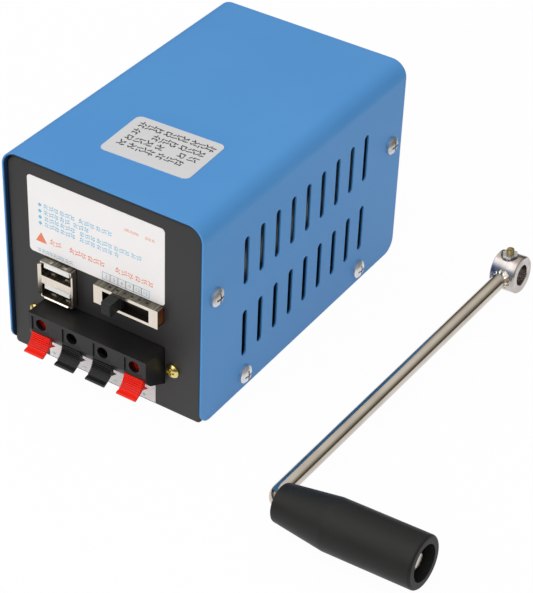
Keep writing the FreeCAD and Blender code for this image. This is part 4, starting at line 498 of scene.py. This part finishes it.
def frame_patch(mesh, centre, size, line, u, v, lift):
    """Four thin lines round a box."""
    radius = line * 0.2
    for sign in (-1, 1):
        rounded_patch(mesh, centre + v * (sign * size[1] / 2), (size[0] + line, line), radius,
                      u, v, lift)
        rounded_patch(mesh, centre + u * (sign * size[0] / 2), (line, size[1]), radius,
                      u, v, lift)


X, Y, Z = Vector((1, 0, 0)), Vector((0, 1, 0)), Vector((0, 0, 1))
PRINT = 0.02 * MM          # thickness of all print

# ---- generic print on the front label ---------------------------------------------
LABEL_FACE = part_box("front_label")[0].y


def on_front(x, z):
    return Vector((x * MM, LABEL_FACE, z * MM))


def stroke(mesh, centre, length, line, turn, u, v, lift):
    """A short dash of print, turned in its plane."""
    along = u * math.cos(turn) + v * math.sin(turn)
    across = v * math.cos(turn) - u * math.sin(turn)
    raised(mesh, [centre + along * (a * length / 2) + across * (b * line / 2)
                  for a, b in ((-1, -1), (1, -1), (1, 1), (-1, 1))], lift)


# A mark's six dashes stand in two rows of three; lengths are shares of the mark's size. Its
# number picks their turns, lengths and small shifts from these values.
MARK_TURNS = (0, 90, 0, 52, 90, -48, 0, 90, 0, 35, -60)
MARK_LENGTHS = (0.44, 0.56, 0.36)
MARK_LINE = 0.15
MARK_COLUMN, MARK_ROW = 0.31, 0.52
MARK_SHIFT_U, MARK_SHIFT_V = 0.05, 0.08
MARK_STEP = 0.1            # each dash is thinner than the last, so that no faces coincide


def mark(mesh, centre, size, number, u, v, lift):
    """A small tangle of dashes that stands for a printed sign and spells nothing."""
    for k in range(6):
        turn = MARK_TURNS[(number * 7 + k * 4) % len(MARK_TURNS)]
        dash = MARK_LENGTHS[(number + 2 * k) % len(MARK_LENGTHS)]
        a = (k % 3 - 1) * MARK_COLUMN + MARK_SHIFT_U * ((number + k) % 3 - 1)
        b = (k // 3 - 0.5) * MARK_ROW + MARK_SHIFT_V * ((number * 2 + k) % 3 - 1)
        stroke(mesh, centre + u * (a * size) + v * (b * size), dash * size, MARK_LINE * size,
               math.radians(turn), u, v, lift * (1 - MARK_STEP * k))


def marks(mesh, start, end, row, pitch, size, at, u, v, lift):
    """A line of marks from start to end, placed by the function at."""
    count = round((end - start) / pitch)
    for k in range(count):
        x = start + (k + 0.5) * (end - start) / count
        mark(mesh, at(x, row), size * MM, k + int(row * 7), u, v, lift)


OUT = -Y * PRINT

# Rows of print: the row's height, its marks' pitch and size, and the spans that it fills, in
# millimetres on the label.
BLUE_ROWS = (
    (66.8, 2.35, 1.9, ((-25.8, -11.6), (-10.6, 4.4))),
    (64.2, 2.35, 1.9, ((-25.8, -14.0), (-13.0, -5.6))),
    (61.6, 2.35, 1.9, ((-25.7, -11.6), (-10.2, 16.6))),
    (59.1, 2.35, 1.9, ((-25.7, -11.6), (-10.4, 7.0))))
ORANGE_ROWS = (
    (52.6, 2.7, 2.2, ((-23.6, -18.2), (-15.0, 1.0), (4.8, 21.8))),
    (71.2, 1.35, 1.15, ((9.2, 15.4), (17.9, 22.0))))
PALE_ROWS = ((47.3, 1.75, 1.5, ((-28.9, -13.4),)),)
BULLET_X, BULLET_SIZE, BULLET_R = -27.2, 1.25 * MM, 0.12 * MM
TRIANGLE = ((-29.5, 50.9), (-24.6, 50.9), (-27.05, 55.1))
SCALE_NUMBERS = (3, 5, 6, 9, 12, 15)
SCALE_X, SCALE_STEP, SCALE_Z, SCALE_H = -0.4, 3.34, 47.9, 3.0
SCALE_LINE = 0.22 * MM
NUMBER_DROP = 0.1
NUMBER_SIZE, SIGN_SIZE = 2.2 * MM, 3.4 * MM
SIGNS = (("+", -23.3), ("−", -9.4), ("−", 4.6), ("+", 17.2))
SIGN_Z = 2.6


def rows_of_marks(mesh, rows, at, u, v, lift):
    for row, pitch, size, spans in rows:
        for start, end in spans:
            marks(mesh, start, end, row, pitch, size, at, u, v, lift)


def scale_box(k):
    """Where the middle of the k-th box of the scale lies along the label."""
    return SCALE_X + (k + 0.5) * SCALE_STEP


def blue_print():
    mesh = bmesh.new()
    rows_of_marks(mesh, BLUE_ROWS, on_front, X, Z, OUT)
    for row, *_ in BLUE_ROWS:
        rounded_patch(mesh, on_front(BULLET_X, row), (BULLET_SIZE, BULLET_SIZE), BULLET_R,
                      (X + Z).normalized(), (Z - X).normalized(), OUT)
    return mesh


def orange_print():
    mesh = bmesh.new()
    rows_of_marks(mesh, ORANGE_ROWS, on_front, X, Z, OUT)
    raised(mesh, [on_front(x, z) for x, z in TRIANGLE], OUT)
    return mesh


def pale_print():
    mesh = bmesh.new()
    rows_of_marks(mesh, PALE_ROWS, on_front, X, Z, OUT)
    for k in range(len(SCALE_NUMBERS)):
        frame_patch(mesh, on_front(scale_box(k), SCALE_Z), (SCALE_STEP * MM, SCALE_H * MM),
                    SCALE_LINE, X, Z, OUT)
    return mesh


piece("label_print_blue", blue_print(), "print_blue", "housing")
piece("label_print_orange", orange_print(), "print_orange", "housing")
piece("label_scale", pale_print(), "print_pale", "housing")


def words(name, items, size, turn, finish, body):
    """Plain numbers and signs, each at its own place, joined into one thin mesh."""
    mesh = bmesh.new()
    for text, at in items:
        curve = bpy.data.curves.new(name + "_text", "FONT")
        curve.body = text
        curve.size = size
        curve.align_x = "CENTER"
        curve.align_y = "CENTER"
        curve.resolution_u = 3
        holder = bpy.data.objects.new(name + "_text", curve)
        scene.collection.objects.link(holder)
        flat = bpy.data.meshes.new_from_object(holder)
        flat.transform(Matrix.Translation(at) @ turn)
        mesh.from_mesh(flat)
        bpy.data.objects.remove(holder)
        bpy.data.curves.remove(curve)
        bpy.data.meshes.remove(flat)
    return piece(name, mesh, finish, body)


STAND = Matrix.Rotation(math.pi / 2, 4, "X")
TERMINAL_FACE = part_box("terminal_label")[0].y
words("label_numbers",
      [(str(n), on_front(scale_box(k), SCALE_Z - NUMBER_DROP) + OUT)
       for k, n in enumerate(SCALE_NUMBERS)],
      NUMBER_SIZE, STAND, "print_pale", "housing")
words("terminal_signs",
      [(sign, Vector((x * MM, TERMINAL_FACE - PRINT, SIGN_Z * MM))) for sign, x in SIGNS],
      SIGN_SIZE, STAND, "print_blue", "housing")

# ---- generic print on the top sticker ----------------------------------------------
STICKER_ROWS = (
    (8.0, 3.75, 3.3, ((-15.4, 16.9),)),
    (3.3, 3.75, 3.3, ((-15.4, -11.2), (-6.8, 15.6))),
    (-1.1, 3.75, 3.3, ((-15.2, 1.4), (6.2, 15.4))),
    (-5.5, 3.75, 3.3, ((-15.2, 12.4),)))
STICKER_TURN = Matrix.Rotation(math.radians(2.4), 3, "Z")
STICKER_AT = Vector((2.4 * MM, -34.0 * MM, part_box("top_sticker")[1].z))
STICKER_U, STICKER_V = STICKER_TURN @ X, STICKER_TURN @ Y


def on_sticker(x, y):
    return STICKER_AT + STICKER_U * (x * MM) + STICKER_V * (y * MM)


sticker = bmesh.new()
rows_of_marks(sticker, STICKER_ROWS, on_sticker, STICKER_U, STICKER_V, Z * PRINT)
piece("sticker_print", sticker, "print_black", "housing")

# ---- crank details ------------------------------------------------------------------
# The crank's sizes are those of its CAD nodes, in millimetres and in the crank's own axes.
ARM_L, ROD_R = 161.4, 3.0
HUB_R, HUB_FROM = 7.5, -4.8
GRIP_R, GRIP_SHOULDER = 9.6, 24.0
CRANK_X, CRANK_Y = 87.8, -90.4
CRANK_TURN = math.radians(1.58)
CRANK_CLEAR = 0.02
tilt = math.atan((GRIP_R - HUB_R) / (GRIP_SHOULDER - HUB_FROM))
CRANK_Z = GRIP_R * math.cos(tilt) - GRIP_SHOULDER * math.sin(tilt) + CRANK_CLEAR
CRANK = (Matrix.Translation(Vector((CRANK_X, CRANK_Y, CRANK_Z)) * MM)
         @ Matrix.Rotation(-CRANK_TURN, 4, "Z") @ Matrix.Rotation(-tilt, 4, "Y"))
WELD_AROUND, WELD_ACROSS = 72, 10
WELD_LEAN = 0.75                       # the bead leans out from the hub, along the rod
WELD_SIZE, WELD_HEAP_SIZE = 0.95, 0.95
WELD_HEAP = math.radians(35)           # direction in which the bead is thickest
WELD_LUMPS, WELD_RIPPLE, WELD_SWELL = 0.2, 0.22, 0.14
WELD_RIPPLE_STEP = 1.05
WELD_FLAT = (0.75, 1.15)
THREAD_FROM, THREAD_L, THREAD_R = 55.35, 0.9, 2.5
THREAD_PITCH, THREAD_H = 0.4, 0.16
THREAD_STEPS = 24
RIDGE_HALF = 0.32                      # half a ridge's width, as a share of the pitch
RIDGE_SINK = 0.05                      # depth of its foot in the spindle


def wobble(k, seed):
    return math.sin(k * 2.399 + seed) * 0.6 + math.sin(k * 5.17 + seed * 1.7) * 0.4


def weld_bead():
    """An uneven ring of weld where the rod meets the hub's side."""
    mesh = bmesh.new()
    rings = []
    for k in range(WELD_AROUND):
        angle = math.tau * k / WELD_AROUND
        x = ROD_R * math.cos(angle)
        z = ROD_R * math.sin(angle)
        reach = math.sqrt(HUB_R ** 2 - z ** 2)
        at = Vector((x, ARM_L - reach, z))
        out = Vector((math.cos(angle), -WELD_LEAN, math.sin(angle))).normalized()
        along = Vector((-math.sin(angle), 0, math.cos(angle)))
        cross = out.cross(along).normalized()
        near = max(0.0, math.cos(angle - WELD_HEAP))
        size = (WELD_SIZE + WELD_HEAP_SIZE * near ** 2 + WELD_LUMPS * wobble(k, 0.4)
                + WELD_RIPPLE * math.sin(k * WELD_RIPPLE_STEP))
        ring = []
        for j in range(WELD_ACROSS):
            turn = math.tau * j / WELD_ACROSS
            swell = size * (1 + WELD_SWELL * wobble(k * 3 + j, 1.3))
            point = (at + out * (swell * math.cos(turn) * WELD_FLAT[0])
                     + cross * (swell * math.sin(turn) * WELD_FLAT[1]))
            ring.append(mesh.verts.new(point * MM))
        rings.append(ring)
    for k in range(WELD_AROUND):
        a, b = rings[k], rings[(k + 1) % WELD_AROUND]
        for j in range(WELD_ACROSS):
            n = (j + 1) % WELD_ACROSS
            mesh.faces.new((a[j], a[n], b[n], b[j]))
    bmesh.ops.recalc_face_normals(mesh, faces=mesh.faces)
    mesh.transform(CRANK)
    return mesh


bead = piece("hub_weld_bead", weld_bead(), "weld", "crank", smooth=True)
rounding = bead.modifiers.new("round", "SUBSURF")
rounding.levels = 1
rounding.render_levels = 1


def thread_ridge():
    """A helical ridge along the spindle's end."""
    mesh = bmesh.new()
    rows = []
    foot = RIDGE_HALF * THREAD_PITCH
    count = int(THREAD_L / THREAD_PITCH * THREAD_STEPS)
    for k in range(count + 1):
        angle = math.tau * k / THREAD_STEPS
        x = THREAD_FROM + THREAD_L * k / count
        row = []
        for shift, rise in ((-foot, -RIDGE_SINK), (0.0, THREAD_H), (foot, -RIDGE_SINK)):
            r = THREAD_R + rise
            point = Vector((x + shift, r * math.cos(angle), r * math.sin(angle)))
            row.append(mesh.verts.new(point * MM))
        rows.append(row)
    for a, b in zip(rows, rows[1:]):
        for j in range(2):
            mesh.faces.new((a[j], a[j + 1], b[j + 1], b[j]))
    bmesh.ops.recalc_face_normals(mesh, faces=mesh.faces)
    mesh.transform(CRANK)
    return mesh


piece("spindle_thread", thread_ridge(), "chrome", "crank")

# ---- studio ---------------------------------------------------------------------------
WHITE = 1.0
WORLD_LIGHT = 0.50
ROOM = ((0.20, (0.075, 0.062, 0.045, 1)),       # share of the way up, and the room's colour
        (0.44, (0.38, 0.35, 0.30, 1)),
        (0.71, (0.90, 0.87, 0.82, 1)))
FLOOR_GLOW = 0.97
FLOOR_HALF = 3.0
FLOOR_Z = -0.2 * MM
POOL = (0.15, 0.42)        # shiny surfaces see the white floor out to here, then dim floor
POOL_DIM = 0.12
LAMPS = (                  # name, place, target, size and watts
    ("key", (-0.45, -0.85, 1.15), (0.0, 0.0, 0.03), (2.0, 2.0), 15.0),
    ("fill", (1.2, -0.5, 0.7), (0.0, 0.0, 0.03), (1.2, 1.2), 1.1))


def seen_share(tree, outputs):
    """1 for the rays that the named outputs of Light Path mark."""
    path = add(tree, "LightPath")
    share = path.outputs[outputs[0]]
    for name in outputs[1:]:
        share = math_node(tree, "MAXIMUM", share, path.outputs[name])
    return share


def mirrored_room(tree):
    """What shiny surfaces see: a bright ceiling above dim walls."""
    at = split(tree, add(tree, "TexCoord").outputs["Generated"])
    ramp = add(tree, "ValToRGB")
    stops = ramp.color_ramp.elements
    stops[0].position, stops[0].color = ROOM[0]
    stops[1].position, stops[1].color = ROOM[2]
    stops.new(ROOM[1][0]).color = ROOM[1][1]
    tree.links.new(at["Z"], ramp.inputs["Fac"])
    room = add(tree, "Background", {"Strength": WHITE})
    tree.links.new(ramp.outputs["Color"], room.inputs["Color"])
    return room.outputs[0]


def mix_shaders(tree, share, a, b):
    mix = add(tree, "MixShader")
    tree.links.new(share, mix.inputs["Fac"])
    tree.links.new(a, mix.inputs[1])
    tree.links.new(b, mix.inputs[2])
    return mix.outputs[0]


def studio_world():
    world = bpy.data.worlds.new("studio")
    scene.world = world
    world.use_nodes = True
    tree = world.node_tree
    light = tree.nodes["Background"]
    light.inputs["Color"].default_value = (1, 1, 1, 1)
    light.inputs["Strength"].default_value = WORLD_LIGHT
    plain = add(tree, "Background", {"Color": (1, 1, 1, 1), "Strength": WHITE})
    seen = seen_share(tree, ("Is Camera Ray", "Is Transmission Ray"))
    lit = mix_shaders(tree, seen, light.outputs[0], plain.outputs[0])
    room = mix_shaders(tree, seen_share(tree, ("Is Glossy Ray",)), lit, mirrored_room(tree))
    tree.links.new(room, tree.nodes["World Output"].inputs["Surface"])


def mirrored_floor(tree):
    """White near the object and dim far off, as shiny surfaces see it."""
    far = vector_length(tree, add(tree, "TexCoord").outputs["Object"])
    pool = add(tree, "Emission", {"Color": (1, 1, 1, 1)})
    tree.links.new(remap(tree, far, *POOL, WHITE, POOL_DIM), pool.inputs["Strength"])
    return pool.outputs[0]


def studio_floor():
    mesh = bmesh.new()
    half = FLOOR_HALF
    mesh.faces.new([mesh.verts.new((x, y, FLOOR_Z))
                    for x, y in ((-half, -half), (half, -half), (half, half), (-half, half))])
    data = bpy.data.meshes.new("floor")
    mesh.to_mesh(data)
    mesh.free()
    floor = bpy.data.objects.new("floor", data)
    scene.collection.objects.link(floor)
    material = bpy.data.materials.new("floor")
    material.use_nodes = True
    tree, shader = finish_tree(material)
    shader.inputs["Base Color"].default_value = rgb(248, 248, 248)
    shader.inputs["Roughness"].default_value = 0.9
    shader.inputs["Specular IOR Level"].default_value = 0.0
    glow = add(tree, "Emission", {"Color": (1, 1, 1, 1), "Strength": WHITE})
    seen = seen_share(tree, ("Is Camera Ray", "Is Glossy Ray", "Is Transmission Ray"))
    share = math_node(tree, "MULTIPLY", seen, FLOOR_GLOW)
    glow = mix_shaders(tree, seen_share(tree, ("Is Glossy Ray",)), glow.outputs[0],
                       mirrored_floor(tree))
    paper = mix_shaders(tree, share, shader.outputs[0], glow)
    tree.links.new(paper, tree.nodes["Material Output"].inputs["Surface"])
    data.materials.append(material)


def soft_lamp(name, at, target, size, watts):
    data = bpy.data.lights.new(name, "AREA")
    data.shape = "RECTANGLE"
    data.size, data.size_y = size
    data.energy = watts
    lamp = bpy.data.objects.new(name, data)
    scene.collection.objects.link(lamp)
    lamp.location = at
    lamp.rotation_euler = (Vector(target) - Vector(at)).to_track_quat("-Z", "Y").to_euler()


studio_world()
studio_floor()
for lamp in LAMPS:
    soft_lamp(*lamp)
